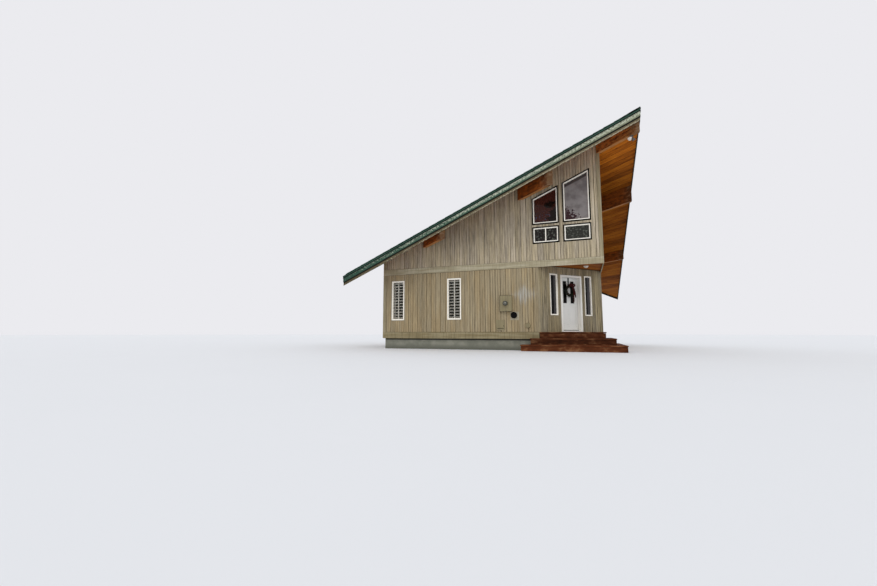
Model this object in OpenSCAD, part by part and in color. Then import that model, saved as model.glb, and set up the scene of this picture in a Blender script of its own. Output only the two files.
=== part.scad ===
// Gabled cabin on a square plan turned 45 degrees to its ridge, with a prow at each end.
// The ridge runs along Y. The entry wall cuts off the front corner of the ground floor,
// and the upper floor carries on over it to shelter a stepped porch.
// The origin is on the ground under the centre of the plan, with +Z up.

/* [Plan] */
// Outside length of each of the four walls
wall_len = 8534; // [7100:1:10300]
// Thickness of the framed and sided walls
wall_t = 195; // [130:5:220]
// Half the width of the entry wall that cuts off the front corner
porch_half = 1570; // [1400:10:1900]

/* [Levels] */
// Height of the foundation above the lowest ground
foundation_h = 420; // [300:10:700]
// Thickness of the foundation wall
foundation_t = 300; // [260:5:360]
// Setback of the foundation behind the siding
foundation_setback = 60; // [10:5:90]
// Depth of the ground floor with its joists
ground_floor_t = 260; // [200:5:320]
// Clear height of the ground floor rooms
room_h = 2464; // [2400:1:2960]
// Depth of the upper floor with its joists
upper_floor_t = 256; // [200:1:320]
// Thickness of the siding leaf that laps over the edge of the upper floor
siding_t = 40; // [25:5:60]

/* [Roof] */
// Height of the upper walls at the two side corners
knee_h = 284; // [220:1:900]
// Pitch of both roof slopes in degrees
pitch = 32; // [27:0.5:36]
// Overhang of the roof, square to each wall
overhang = 1235; // [1000:5:1500]
// Vertical depth from the roof surface to the soffit
roof_depth = 350; // [280:5:420]
// Vertical depth of the upper fascia board below the roof surface
fascia_h = 305; // [260:5:340]
// Thickness of the upper fascia board
fascia_t = 38; // [30:1:60]
// Vertical depth of the lower fascia board below the roof surface
sub_fascia_h = 445; // [380:5:560]
// Thickness of the lower fascia board
sub_fascia_t = 24; // [15:1:30]
// Height of the metal ribs
rib_h = 24; // [12:1:40]
// Width of a metal rib at its foot
rib_w = 60; // [30:1:90]
// Distance between the metal ribs
rib_pitch = 229; // [180:1:460]
// Thickness of the roof sheet
sheet_t = 10; // [4:1:16]
// Height of the folded metal edge on the fascia
edge_h = 95; // [60:5:140]
// Half of the width of the ridge cap
cap_half = 190; // [120:5:300]

/* [Beams] */
// Thickness of the ridge beam and of the purlins
beam_w = 140; // [100:5:200]
// Depth of the ridge beam below the soffit
ridge_beam_d = 438; // [300:5:500]
// Distance of the upper purlins from the ridge
upper_purlin_x = 1978; // [1800:1:2300]
// Depth of the upper purlins below the soffit
upper_purlin_d = 585; // [400:5:650]
// Distance of the lower purlins from the ridge
lower_purlin_x = 4718; // [4300:1:4900]
// Depth of the lower purlins below the soffit
lower_purlin_d = 400; // [300:5:480]

/* [Trim] */
// Height of the band board between the storeys
band_h = 233; // [150:1:300]
// Drop of the band board below the upper floor
band_drop = 106; // [40:1:120]
// Height of the board round the foot of the walls
base_h = 245; // [120:1:300]
// Thickness of the band, base and corner boards
trim_t = 24; // [15:1:35]
// Width of the corner boards on each wall
corner_w = 92; // [60:1:140]

/* [Windows] */
// Width of the ground floor windows
low_win_w = 570; // [450:1:760]
// Height of the ground floor windows
low_win_h = 1622; // [1200:1:1760]
// Sill of the ground floor windows above the ground floor
low_win_sill = 474; // [300:1:900]
// Centre of the outer ground floor window from the side corner
low_win_a = 657; // [560:1:900]
// Centre of the inner ground floor window from the side corner
low_win_b = 3097; // [2400:1:3600]
// Width of the upper windows with their casing
up_win_w = 940; // [700:1:980]
// Height of the lower pair of upper windows
up_win_h = 612; // [450:1:700]
// Sill of the lower pair above the upper floor
up_win_sill = 512; // [300:1:700]
// Distance of the first upper window from the prow
up_win_a = 338; // [300:1:420]
// Siding left between neighbouring upper windows
up_win_gap = 151; // [100:1:220]
// Siding left between the lower pair and the raked pair
up_win_rail = 100; // [80:1:200]
// Vertical distance from the soffit to the raked heads
up_win_drop = 795; // [680:1:900]
// Width of the sidelights
side_w = 354; // [280:1:420]
// Height of the sidelights
side_h = 1545; // [1200:1:1650]
// Sill of the sidelights above the ground floor
side_sill = 611; // [500:1:750]
// Distance of the sidelights from the middle of the door
side_x = 849; // [780:1:900]
// Visible width of the frames of the ground floor windows
frame_w = 47; // [35:1:70]
// Visible width of the frames of the upper windows and the sidelights
slim_frame_w = 34; // [30:1:60]
// Depth of a window frame
frame_d = 100; // [70:1:120]
// Distance that a window frame stands out of the wall
frame_proud = 14; // [5:1:30]
// Thickness of the glazing
glass_t = 14; // [6:1:28]
// Width of the dark casing round the upper windows
casing_w = 38; // [20:1:60]

/* [Door] */
// Width of the door leaf
door_w = 911; // [760:1:960]
// Height of the door leaf
door_h = 2030; // [1900:1:2110]
// Thickness of the door leaf
door_t = 44; // [36:1:56]
// Gap round the door leaf
door_gap = 5; // [5:0.5:8]
// Visible width of the door frame
jamb_w = 62; // [45:1:80]
// Height of the door sill
sill_h = 35; // [20:1:50]
// Width of each glazed light in the door
lite_w = 180; // [100:1:200]
// Height of each glazed light in the door
lite_h = 850; // [600:1:950]
// Distance between the middles of the two door lights
lite_pitch = 365; // [260:1:420]

/* [Porch] */
// Height of each step
step_rise = 222; // [180:1:230]
// Depth of each tread
step_going = 300; // [250:1:340]
// Thickness of the tread planks
plank_t = 40; // [25:1:60]
// Overhang of the tread planks over the risers
nosing = 16; // [5:1:30]

/* [Hidden] */

$fn = 48;
eps = 1;
far = 40000;
root2 = sqrt(2);
half_diag = wall_len / root2;
slope = tan(pitch);
roof_half_diag = half_diag + overhang * root2;
ground_floor_z = foundation_h + ground_floor_t;
upper_floor_base = ground_floor_z + room_h;
upper_floor_z = upper_floor_base + upper_floor_t;
ridge_h = upper_floor_z + knee_h + roof_depth + slope * half_diag;
entry_y = porch_half - half_diag;
entry_inner_y = entry_y + wall_t;
entry_s = porch_half * root2;

// Plan outlines, counter-clockwise from the left corner
upper_plan = [[-half_diag, 0], [0, -half_diag], [half_diag, 0], [0, half_diag]];
lower_plan = [[-half_diag, 0], [-porch_half, entry_y], [porch_half, entry_y], [half_diag, 0], [0, half_diag]];

// Roof layers as vertical depths below the roof surface
rib_depth = rib_h / cos(pitch);
sheet_depth = rib_depth + sheet_t / cos(pitch);
edge_inset = 12;
edge_t = 8;
hem_h = 14;
hem_kick = 6;
fascia_inset = edge_inset + edge_t;
deck_inset = fascia_inset + fascia_t;
pocket_gap = 3;
seat_gap = 0.3;

// Door leaf and hinge line
door_clear = door_w + 2 * door_gap;
door_unit_w = door_clear + 2 * jamb_w;
door_unit_h = sill_h + door_h + 2 * door_gap + jamb_w;
door_z = ground_floor_z + sill_h + door_gap;
door_stop = 12;
door_front_y = entry_inner_y - door_t;
hinge_r = 7;
hinge_x = door_w / 2 + door_gap / 2;
hinge_y = entry_inner_y + hinge_r + 1;
hinge_h = 100;
hinge_leaf_t = 2;
hinge_leaf_w = 34;
hinge_cut = 0.5;
hinge_heights = [180, door_h / 2, door_h - 180];
knob_x = 70 - door_w / 2;
knob_h = 960;
lite_drop = 135;

// Fixtures on the front left wall, as distance from the prow and height above the ground
meter_s = 3395;
meter_z = 1726;
meter_w = 462;
meter_h = 600;
meter_d = 110;
dial_r = 88;
dial_d = 85;
dial_offset = 10;
plate_s = 3085;
plate_z = 1264;
plate_w = 320;
plate_h = 310;
plate_t = 14;
vent_s = 3113;
vent_z = 1290;
vent_r = 116;
vent_d = 40;
low_vent_s = 3623;
low_vent_z = 931;
low_vent_w = 330;
low_vent_h = 380;
low_vent_d = 30;
hood_s = 2614;
hood_z = 904;
hood_r = 100;
hood_d = 60;

// Lamps: the porch lamp is in front of the door, the twin lamp behind the tip of the ridge beam
porch_light_x = 244;
porch_light_out = 545;
floodlight_back = 390;

function roof_z(x) = ridge_h - slope * abs(x);
function soffit_z(x) = roof_z(x) - roof_depth;

// Unit vector along an edge, and the outline moved inwards by d
function along(a, b) = (b - a) / norm(b - a);
function inset(pts, d) = [for (i = [0 : len(pts) - 1])
    let (n = len(pts), p = pts[i], u = along(pts[(i + n - 1) % n], p), v = along(p, pts[(i + 1) % n]),
         a = [-u[1], u[0]], b = [-v[1], v[0]])
    p + d * (a + b) / (1 + a * b)];

// Outlines on a wall face, as distance along the wall and height
function pane(s, z, w, h) = [[s, z], [s + w, z], [s + w, z + h], [s, z + h]];
function raked_pane(s, z, w) = [[s, z], [s + w, z],
    [s + w, soffit_z((s + w) / root2) - up_win_drop], [s, soffit_z(s / root2) - up_win_drop]];

low_windows = [for (c = [low_win_a, low_win_b])
    pane(wall_len - c - low_win_w / 2, ground_floor_z + low_win_sill, low_win_w, low_win_h)];
up_win_b = up_win_a + up_win_w + up_win_gap;
up_win_z = upper_floor_z + up_win_sill;
raked_z = up_win_z + up_win_h + up_win_rail;
up_casings = [pane(up_win_a, up_win_z, up_win_w, up_win_h), pane(up_win_b, up_win_z, up_win_w, up_win_h),
    raked_pane(up_win_a, raked_z, up_win_w), raked_pane(up_win_b, raked_z, up_win_w)];
up_windows = [for (o = up_casings) inset(o, casing_w)];
sidelight = pane(-side_w / 2, ground_floor_z + side_sill, side_w, side_h);

// Places children on a wall: X along the wall from its prow, Y outwards, Z up
module on_wall(right = 0, back = 0)
    mirror([right, 0, 0]) mirror([0, back, 0])
        translate([0, -half_diag, 0]) rotate([0, 0, 135]) children();

module on_all_walls()
    for (right = [0, 1], back = [0, 1]) on_wall(right, back) children();

// Places children on the entry wall: X along the wall, Y outwards, Z up
module on_entry(x = 0)
    translate([x, entry_y, 0]) mirror([0, 1, 0]) children();

// Extrudes an outline drawn on a wall face inwards from y = from
module into_wall(from, depth)
    translate([0, from, 0]) rotate([90, 0, 0]) linear_extrude(depth) children();

module ring(outline, w)
    difference() {
        polygon(outline);
        polygon(inset(outline, w));
    }

module wall_prism(plan, i, t, z0, z1)
    let (inner = inset(plan, t), j = (i + 1) % len(plan))
        translate([0, 0, z0]) linear_extrude(z1 - z0) polygon([plan[i], plan[j], inner[j], inner[i]]);

// Everything between two depths below the roof surface, over the whole span
module roof_layer(top, bottom)
    rotate([90, 0, 0]) linear_extrude(2 * roof_half_diag + 2, center = true)
        let (x = roof_half_diag + eps, z = roof_z(x))
            polygon([[-x, z - top], [-x, z - bottom], [0, ridge_h - bottom], [x, z - bottom], [x, z - top],
                [0, ridge_h - top]]);

module under_soffit()
    rotate([90, 0, 0]) linear_extrude(2 * roof_half_diag + 2, center = true)
        let (x = roof_half_diag + eps)
            polygon([[-x, 0], [x, 0], [x, soffit_z(x)], [0, soffit_z(0)], [-x, soffit_z(x)]]);

function roof_plan(d) = let (r = roof_half_diag - d * root2) [[-r, 0], [0, -r], [r, 0], [0, r]];

module roof_prism(d) linear_extrude(ridge_h + 100) polygon(roof_plan(d));

module side_half(right)
    translate([right ? 0 : -far, -far / 2, 0]) cube([far, far, far]);

module foundation() color("darkgray")
    linear_extrude(foundation_h) difference() {
        polygon(inset(lower_plan, foundation_setback));
        polygon(inset(lower_plan, foundation_setback + foundation_t));
    }

module ground_floor() color("peru")
    translate([0, 0, foundation_h]) linear_extrude(ground_floor_t) {
        polygon(inset(lower_plan, wall_t));
        translate([-door_unit_w / 2, entry_y]) square([door_unit_w, wall_t]);
    }

module lower_wall(right, back) color("tan")
    difference() {
        edge = back ? (right ? 3 : 4) : (right ? 2 : 0);
        wall_prism(lower_plan, edge, wall_t, foundation_h, upper_floor_base);
        on_wall(right, back) for (o = low_windows) into_wall(eps, wall_t + 2 * eps) polygon(o);
    }

module entry_wall_side(right) color("tan")
    mirror([right, 0, 0]) difference() {
        wall_prism(lower_plan, 1, wall_t, foundation_h, upper_floor_base);
        translate([-door_unit_w / 2, entry_y - eps, 0]) cube([far, wall_t + 2 * eps, far]);
        on_entry(-side_x) into_wall(eps, wall_t + 2 * eps) polygon(sidelight);
    }

module entry_wall_head() color("tan")
    translate([-door_unit_w / 2, entry_y, ground_floor_z + door_unit_h])
        cube([door_unit_w, wall_t, upper_floor_base - ground_floor_z - door_unit_h]);

module upper_floor() color("peru")
    translate([0, 0, upper_floor_base]) linear_extrude(upper_floor_t) polygon(inset(upper_plan, siding_t));

// Section of a beam under the soffit, grown sideways and upwards for the pocket that holds it
module beam_profile(xc, depth, grow, top)
    let (a = xc - beam_w / 2 - grow, b = xc + beam_w / 2 + grow, z = soffit_z(xc) - depth)
        polygon(concat([[a, z], [b, z], [b, soffit_z(b) + top]],
            a < 0 && b > 0 ? [[0, soffit_z(0) + top]] : [], [[a, soffit_z(a) + top]]));

module beam(xc, depth, grow = 0, top = -seat_gap)
    rotate([90, 0, 0]) linear_extrude(2 * roof_half_diag, center = true) beam_profile(xc, depth, grow, top);

module beam_pockets() {
    beam(0, ridge_beam_d, pocket_gap, pocket_gap);
    for (side = [-1, 1]) {
        beam(side * upper_purlin_x, upper_purlin_d, pocket_gap, pocket_gap);
        beam(side * lower_purlin_x, lower_purlin_d, pocket_gap, pocket_gap);
    }
}

module upper_wall(right, back) color("tan")
    difference() {
        intersection() {
            mirror([right, 0, 0]) mirror([0, back, 0]) {
                wall_prism(upper_plan, 0, wall_t, upper_floor_z, ridge_h);
                wall_prism(upper_plan, 0, siding_t, upper_floor_base, upper_floor_z + eps);
            }
            under_soffit();
        }
        beam_pockets();
        on_wall(right, back) for (o = up_windows) into_wall(eps, wall_t + 2 * eps) polygon(o);
    }

module ridge_beam() color("sienna")
    intersection() {
        beam(0, ridge_beam_d);
        roof_prism(deck_inset);
    }

module purlins(xc, depth) color("sienna")
    for (side = [-1, 1]) intersection() {
        beam(side * xc, depth);
        roof_prism(deck_inset);
    }

module roof_deck(right) color("chocolate")
    intersection() {
        roof_layer(sheet_depth + seat_gap, roof_depth);
        roof_prism(deck_inset);
        side_half(right);
    }

// One rib down the slope, ending inside the edge of the sheet
module rib(y) {
    run = roof_half_diag - abs(y) - rib_w / 2 - edge_inset;
    translate([0, y, ridge_h - rib_depth]) rotate([0, -90 - pitch, 0])
        linear_extrude(run / cos(pitch))
            polygon([[-eps, -rib_w / 2], [rib_h, -rib_w / 4], [rib_h, rib_w / 4], [-eps, rib_w / 2]]);
}

module roof_metal(right) color("darkgreen")
    mirror([right, 0, 0]) {
        intersection() {
            roof_layer(rib_depth, sheet_depth);
            roof_prism(0);
            side_half(0);
        }
        intersection() {
            union() {
                last = floor((roof_half_diag - 4 * rib_w) / rib_pitch - 0.5);
                for (i = [-last - 1 : last]) rib((i + 0.5) * rib_pitch);
            }
            side_half(0);
        }
    }

module ridge_cap() color("darkgreen")
    intersection() {
        roof_layer(-sheet_t, -seat_gap);
        roof_prism(edge_inset);
        translate([-cap_half, -far / 2, 0]) cube([2 * cap_half, far, far]);
    }

// Upper board of the fascia along one rake
module fascia(right, back) color("darkseagreen")
    mirror([right, 0, 0]) mirror([0, back, 0]) intersection() {
        roof_layer(sheet_depth + seat_gap, fascia_h);
        wall_prism(roof_plan(fascia_inset), 0, fascia_t, 0, ridge_h);
    }

// Closed ring that follows all four rakes between two insets and two depths
module rake_ring(outer, inner, top, bottom)
    intersection() {
        roof_layer(top, bottom);
        difference() {
            roof_prism(outer);
            translate([0, 0, -eps]) linear_extrude(2 * ridge_h) polygon(roof_plan(inner));
        }
    }

// Lower board of the fascia, set back under the upper one
module sub_fascia() color("wheat")
    rake_ring(deck_inset - sub_fascia_t, deck_inset, fascia_h + seat_gap, sub_fascia_h);

// Metal edge with a hem that kicks out at its foot
module rake_edge() color("darkgreen")
    let (foot = sheet_depth + edge_h) {
        rake_ring(edge_inset, fascia_inset, sheet_depth + seat_gap, foot);
        rake_ring(edge_inset - hem_kick, fascia_inset, foot - hem_h, foot);
    }

module belly_band() color("wheat")
    translate([0, 0, upper_floor_base - band_drop]) linear_extrude(band_h) difference() {
        polygon(inset(upper_plan, -trim_t));
        polygon(upper_plan);
    }

module base_boards() color("wheat")
    translate([0, 0, foundation_h]) linear_extrude(base_h) difference() {
        polygon(inset(lower_plan, -trim_t));
        polygon(lower_plan);
        translate([-porch_half - trim_t, entry_y - trim_t - eps])
            square([2 * (porch_half + trim_t), trim_t + eps]);
    }

// Angle of board round the prow corner of the square plan
module corner_angle(z0, z1)
    translate([0, 0, z0]) linear_extrude(z1 - z0) difference() {
        polygon(prow_wrap(trim_t, corner_w));
        polygon(upper_plan);
    }

// Outline round the prow: d outwards from both front walls, s along them
function prow_wrap(d, s) = [[0, -half_diag - d * root2],
    [(s + d) / root2, -half_diag + (s - d) / root2], [(s - d) / root2, -half_diag + (s + d) / root2],
    [-(s - d) / root2, -half_diag + (s + d) / root2], [-(s + d) / root2, -half_diag + (s - d) / root2]];

module corner_boards() color("wheat") {
    for (turn = [90, 180, 270]) rotate([0, 0, turn])
        corner_angle(foundation_h + base_h, upper_floor_base - band_drop);
    difference() {
        intersection() {
            for (turn = [0, 90, 180, 270]) rotate([0, 0, turn])
                corner_angle(upper_floor_base - band_drop + band_h, ridge_h);
            under_soffit();
        }
        beam_pockets();
    }
}

module entry_soffit() color("peru")
    translate([0, 0, upper_floor_base - soffit_board_t]) linear_extrude(soffit_board_t)
        polygon([[0, -half_diag], [porch_half, entry_y], [-porch_half, entry_y]]);
soffit_board_t = 20;

// White frame with a stop outside and a rebate for the glass behind it
stop_d = 42;
rebate = 12;
module window_frame(outline, w) {
    into_wall(frame_proud, stop_d) ring(outline, w);
    into_wall(frame_proud - stop_d, frame_d - stop_d) ring(outline, w - rebate);
}

module window_glass(outline, w)
    into_wall(frame_proud - stop_d, glass_t) polygon(inset(outline, w - rebate));

module lower_window_frames() color("white") {
    on_all_walls() for (o = low_windows) window_frame(o, frame_w);
    for (x = [-side_x, side_x]) on_entry(x) window_frame(sidelight, slim_frame_w);
}

module lower_window_glass() color("lightblue", 0.5) {
    on_all_walls() for (o = low_windows) window_glass(o, frame_w);
    for (x = [-side_x, side_x]) on_entry(x) window_glass(sidelight, slim_frame_w);
}

// The outer window of the lower pair slides, so it has a meeting stile
module upper_window_frames() color("white")
    on_all_walls() {
        for (o = up_windows) window_frame(o, slim_frame_w);
        into_wall(frame_proud, stop_d)
            translate([up_win_b + (up_win_w - slim_frame_w) / 2, up_win_z + casing_w + slim_frame_w])
                square([slim_frame_w, up_win_h - 2 * (casing_w + slim_frame_w)]);
    }

module upper_window_glass() color("lightblue", 0.5)
    on_all_walls() for (o = up_windows) window_glass(o, slim_frame_w);

module upper_window_casings() color("black")
    on_all_walls() for (o = up_casings) into_wall(trim_t, trim_t) ring(o, casing_w);

// Porch platform and two steps, all parallel to the front walls
module porch_outline(grow)
    intersection() {
        polygon(inset(upper_plan, -grow));
        translate([-far / 2, -far]) square([far, far + entry_y - seat_gap]);
    }

module porch_platform() color("saddlebrown") {
    linear_extrude(3 * step_rise - plank_t) porch_outline(-nosing);
    translate([0, 0, 3 * step_rise - plank_t]) linear_extrude(plank_t) porch_outline(0);
}

// Each step butts against the riser of the one above it
module step_outline(n, grow)
    difference() {
        reach = n * step_going + grow;
        riser = (n - 1) * step_going - nosing + seat_gap;
        polygon(prow_wrap(reach, entry_s + reach));
        polygon(inset(lower_plan, -trim_t - seat_gap));
        if (n == 1) porch_outline(riser);
        if (n == 2) polygon(prow_wrap(riser, entry_s + riser));
    }

module step(n) color("saddlebrown") {
    linear_extrude((3 - n) * step_rise - plank_t) step_outline(n, -nosing);
    translate([0, 0, (3 - n) * step_rise - plank_t]) linear_extrude(plank_t) step_outline(n, 0);
}

module door_frame() color("white")
    translate([0, entry_y - frame_proud, ground_floor_z]) difference() {
        translate([-door_unit_w / 2, 0, 0]) cube([door_unit_w, wall_t + frame_proud, door_unit_h]);
        translate([-door_clear / 2, wall_t + frame_proud - door_t - door_gap, sill_h])
            cube([door_clear, door_t + door_gap + eps, door_h + 2 * door_gap]);
        translate([-door_clear / 2 + door_stop, -eps, sill_h])
            cube([door_clear - 2 * door_stop, wall_t + frame_proud, door_h + 2 * door_gap - door_stop]);
    }

module lite_cut(x, grow, depth, y)
    translate([x - lite_w / 2 - grow, y, door_z + door_h - lite_drop - lite_h - grow])
        cube([lite_w + 2 * grow, depth, lite_h + 2 * grow]);

// Moulding round each door light, on both faces
lite_t = 34;
lite_bead_w = 24;
lite_bead_d = 8;

// Two sunk fields below the lights, each with a raised middle
panel_w = 300;
panel_foot = 230;
panel_head = 915;
panel_sink = 7;
panel_groove_w = 26;

module panel_groove(x, y)
    translate([x, y, door_z]) rotate([90, 0, 0]) linear_extrude(panel_sink + eps)
        ring(pane(-panel_w / 2, panel_foot, panel_w, panel_head - panel_foot), panel_groove_w);

module entry_door() color("whitesmoke")
    difference() {
        union() {
            translate([-door_w / 2, door_front_y, door_z]) cube([door_w, door_t, door_h]);
            for (side = [-1, 1])
                lite_cut(side * lite_pitch / 2, lite_bead_w, door_t + 2 * lite_bead_d, door_front_y - lite_bead_d);
        }
        for (side = [-1, 1]) {
            lite_cut(side * lite_pitch / 2, 0, far, door_front_y - far / 2);
            panel_groove(side * lite_pitch / 2, door_front_y + panel_sink);
            panel_groove(side * lite_pitch / 2, door_front_y + door_t + eps);
        }
    }

module door_lights() color("black")
    for (side = [-1, 1])
        lite_cut(side * lite_pitch / 2, 0, lite_t, door_front_y + (door_t - lite_t) / 2);

knob_profile = [[0, 0], [32, 0], [32, 6], [12, 9], [11, 28], [22, 34], [28, 44], [28, 52], [20, 60], [0, 62]];
module door_knob() color("dimgray")
    for (side = [0, 1])
        translate([knob_x, side ? door_front_y + door_t : door_front_y, door_z + knob_h])
            rotate([side ? -90 : 90, 0, 0]) rotate_extrude() polygon(knob_profile);

// Barrel of a hinge with its middle third on the door and the rest on the frame
module barrel(z, h)
    translate([hinge_x, hinge_y, z]) cylinder(r = hinge_r, h = h);

module leaf(x, z, h, to_barrel)
    translate([x, hinge_y - hinge_r - 1 - hinge_leaf_w, z])
        cube([hinge_leaf_t, hinge_leaf_w + (to_barrel ? hinge_r + 1 : 0), h]);

module door_hinge_leaves() color("silver")
    for (h = hinge_heights) let (z = door_z + h - hinge_h / 2) {
        leaf(hinge_x - door_gap / 2, z, hinge_h, false);
        leaf(hinge_x - door_gap / 2, z + hinge_h / 3 + hinge_cut, hinge_h / 3 - 2 * hinge_cut, true);
        barrel(z + hinge_h / 3 + hinge_cut, hinge_h / 3 - 2 * hinge_cut);
    }

module frame_hinge_leaves() color("silver")
    for (h = hinge_heights) let (z = door_z + h - hinge_h / 2, x = hinge_x + door_gap / 2 - hinge_leaf_t) {
        leaf(x, z, hinge_h, false);
        for (k = [0, 2]) {
            leaf(x, z + k * hinge_h / 3, hinge_h / 3, true);
            barrel(z + k * hinge_h / 3, hinge_h / 3);
        }
    }

// Evergreen ring that hangs from a strap over the top of the door
wreath_r = 182;
wreath_tube = 72;
wreath_z = 2238;
module wreath() color("darkolivegreen")
    translate([0, door_front_y - lite_bead_d - wreath_tube, wreath_z]) rotate([90, 0, 0])
        rotate_extrude() translate([wreath_r, 0]) circle(wreath_tube);

module on_wall_disc(s, z, from, r_foot, r_face, depth)
    translate([s, from, z]) rotate([-90, 0, 0]) cylinder(r1 = r_foot, r2 = r_face, h = depth);

module on_wall_box(s, z, w, h, depth)
    translate([s - w / 2, 0, z - h / 2]) cube([w, depth, h]);

module meter_box() color("tan")
    on_wall() {
        on_wall_box(meter_s, meter_z, meter_w, meter_h, meter_d);
        on_wall_disc(meter_s + dial_offset, meter_z, meter_d, dial_r, dial_r, dial_d);
    }

module wall_vents() color("gainsboro")
    on_wall() {
        on_wall_box(plate_s, plate_z, plate_w, plate_h, plate_t);
        on_wall_disc(vent_s, vent_z, plate_t, vent_r, vent_r, vent_d);
        on_wall_box(low_vent_s, low_vent_z, low_vent_w, low_vent_h, low_vent_d);
        on_wall_disc(hood_s, hood_z, 0, hood_r, 0.82 * hood_r, hood_d);
    }

porch_light_profile = [[0, 0], [92, 0], [92, 18], [80, 26], [66, 52], [40, 74], [0, 84]];
module porch_light() color("white")
    translate([porch_light_x, entry_y - porch_light_out, upper_floor_base - soffit_board_t]) mirror([0, 0, 1])
        rotate_extrude() polygon(porch_light_profile);

lamp_base_r = 58;
lamp_base_h = 30;
lamp_tilt = 42;
lamp_profile = [[0, -20], [18, -10], [18, 45], [36, 70], [60, 150], [0, 158]];
module floodlight() color("white")
    translate([0, floodlight_back - roof_half_diag, soffit_z(0) - ridge_beam_d]) mirror([0, 0, 1]) {
        cylinder(r = lamp_base_r, h = lamp_base_h);
        for (side = [-1, 1]) translate([0, 0, lamp_base_h]) rotate([0, side * lamp_tilt, 0])
            rotate_extrude() polygon(lamp_profile);
    }

foundation();
ground_floor();
lower_wall(0, 0);  // lower_wall_front_left
lower_wall(1, 0);  // lower_wall_front_right
lower_wall(0, 1);  // lower_wall_back_left
lower_wall(1, 1);  // lower_wall_back_right
entry_wall_side(0);  // entry_wall_left
entry_wall_side(1);  // entry_wall_right
entry_wall_head();
upper_floor();
upper_wall(0, 0);  // upper_wall_front_left
upper_wall(1, 0);  // upper_wall_front_right
upper_wall(0, 1);  // upper_wall_back_left
upper_wall(1, 1);  // upper_wall_back_right
ridge_beam();
purlins(upper_purlin_x, upper_purlin_d);  // upper_purlins
purlins(lower_purlin_x, lower_purlin_d);  // lower_purlins
roof_deck(0);  // roof_deck_left
roof_deck(1);  // roof_deck_right
roof_metal(0);  // roof_metal_left
roof_metal(1);  // roof_metal_right
ridge_cap();
fascia(0, 0);  // fascia_front_left
fascia(1, 0);  // fascia_front_right
fascia(0, 1);  // fascia_back_left
fascia(1, 1);  // fascia_back_right
sub_fascia();
rake_edge();
belly_band();
base_boards();
corner_boards();
entry_soffit();
lower_window_frames();
lower_window_glass();
upper_window_frames();
upper_window_glass();
upper_window_casings();
porch_platform();
step(1);  // middle_step
step(2);  // bottom_step
door_frame();
frame_hinge_leaves();
entry_door();
door_lights();
door_knob();
door_hinge_leaves();
wreath();
meter_box();
wall_vents();
porch_light();
floodlight();
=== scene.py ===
"""Looks of a prow-front gabled cabin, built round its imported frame.

Everything is in metres, with +Z up, the ridge along Y and the entry prow at -Y.
"""

import logging
import math
from collections.abc import Callable
from dataclasses import dataclass, field
from enum import Enum

import bmesh
import bpy
import numpy as np
from mathutils import Euler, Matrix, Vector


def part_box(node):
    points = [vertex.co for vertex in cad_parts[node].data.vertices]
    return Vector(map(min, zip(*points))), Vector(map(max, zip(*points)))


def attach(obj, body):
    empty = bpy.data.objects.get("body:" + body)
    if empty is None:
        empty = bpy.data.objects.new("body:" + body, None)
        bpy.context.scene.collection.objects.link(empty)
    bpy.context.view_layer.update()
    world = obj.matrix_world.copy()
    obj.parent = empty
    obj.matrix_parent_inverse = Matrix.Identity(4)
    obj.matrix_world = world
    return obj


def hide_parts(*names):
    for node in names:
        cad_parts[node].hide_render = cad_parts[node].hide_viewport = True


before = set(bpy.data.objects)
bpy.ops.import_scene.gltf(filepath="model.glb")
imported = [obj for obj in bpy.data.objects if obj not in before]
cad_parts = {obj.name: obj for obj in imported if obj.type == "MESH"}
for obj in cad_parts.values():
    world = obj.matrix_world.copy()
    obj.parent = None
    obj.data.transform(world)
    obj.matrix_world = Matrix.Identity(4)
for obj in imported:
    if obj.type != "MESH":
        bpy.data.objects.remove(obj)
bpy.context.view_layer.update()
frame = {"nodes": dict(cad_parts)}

LOG = logging.getLogger("cabin")
ROOT2 = math.sqrt(2)
HOUSE = "house"
DOOR = "door"
HANDS = ((-1, "left"), (1, "right"))

Socket = bpy.types.NodeSocket
Colour = str | Socket
Height = Callable[[float], float]


def srgb(code: str) -> tuple[float, ...]:
    """Turns a colour of six hex digits into linear red, green, blue and alpha."""
    parts = [int(code[i:i + 2], 16) / 255 for i in (0, 2, 4)]
    return tuple(p / 12.92 if p <= 0.04045 else ((p + 0.055) / 1.055) ** 2.4 for p in parts) + (1.0,)


def put(name: str, data: bpy.types.ID) -> bpy.types.Object:
    """Puts a mesh, a lamp or a camera into the scene.

    Args:
        name: The object's name.
        data: Its mesh, lamp or camera.

    Returns:
        The object.
    """
    made = bpy.data.objects.new(name, data)
    bpy.context.scene.collection.objects.link(made)
    return made


def edge(node: str, end: int, axis: int) -> float:
    """Gives a side of a CAD node's box: its low end is 0 and its high end 1, and the axis counts from 0."""
    return float(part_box(node)[end][axis])


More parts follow.
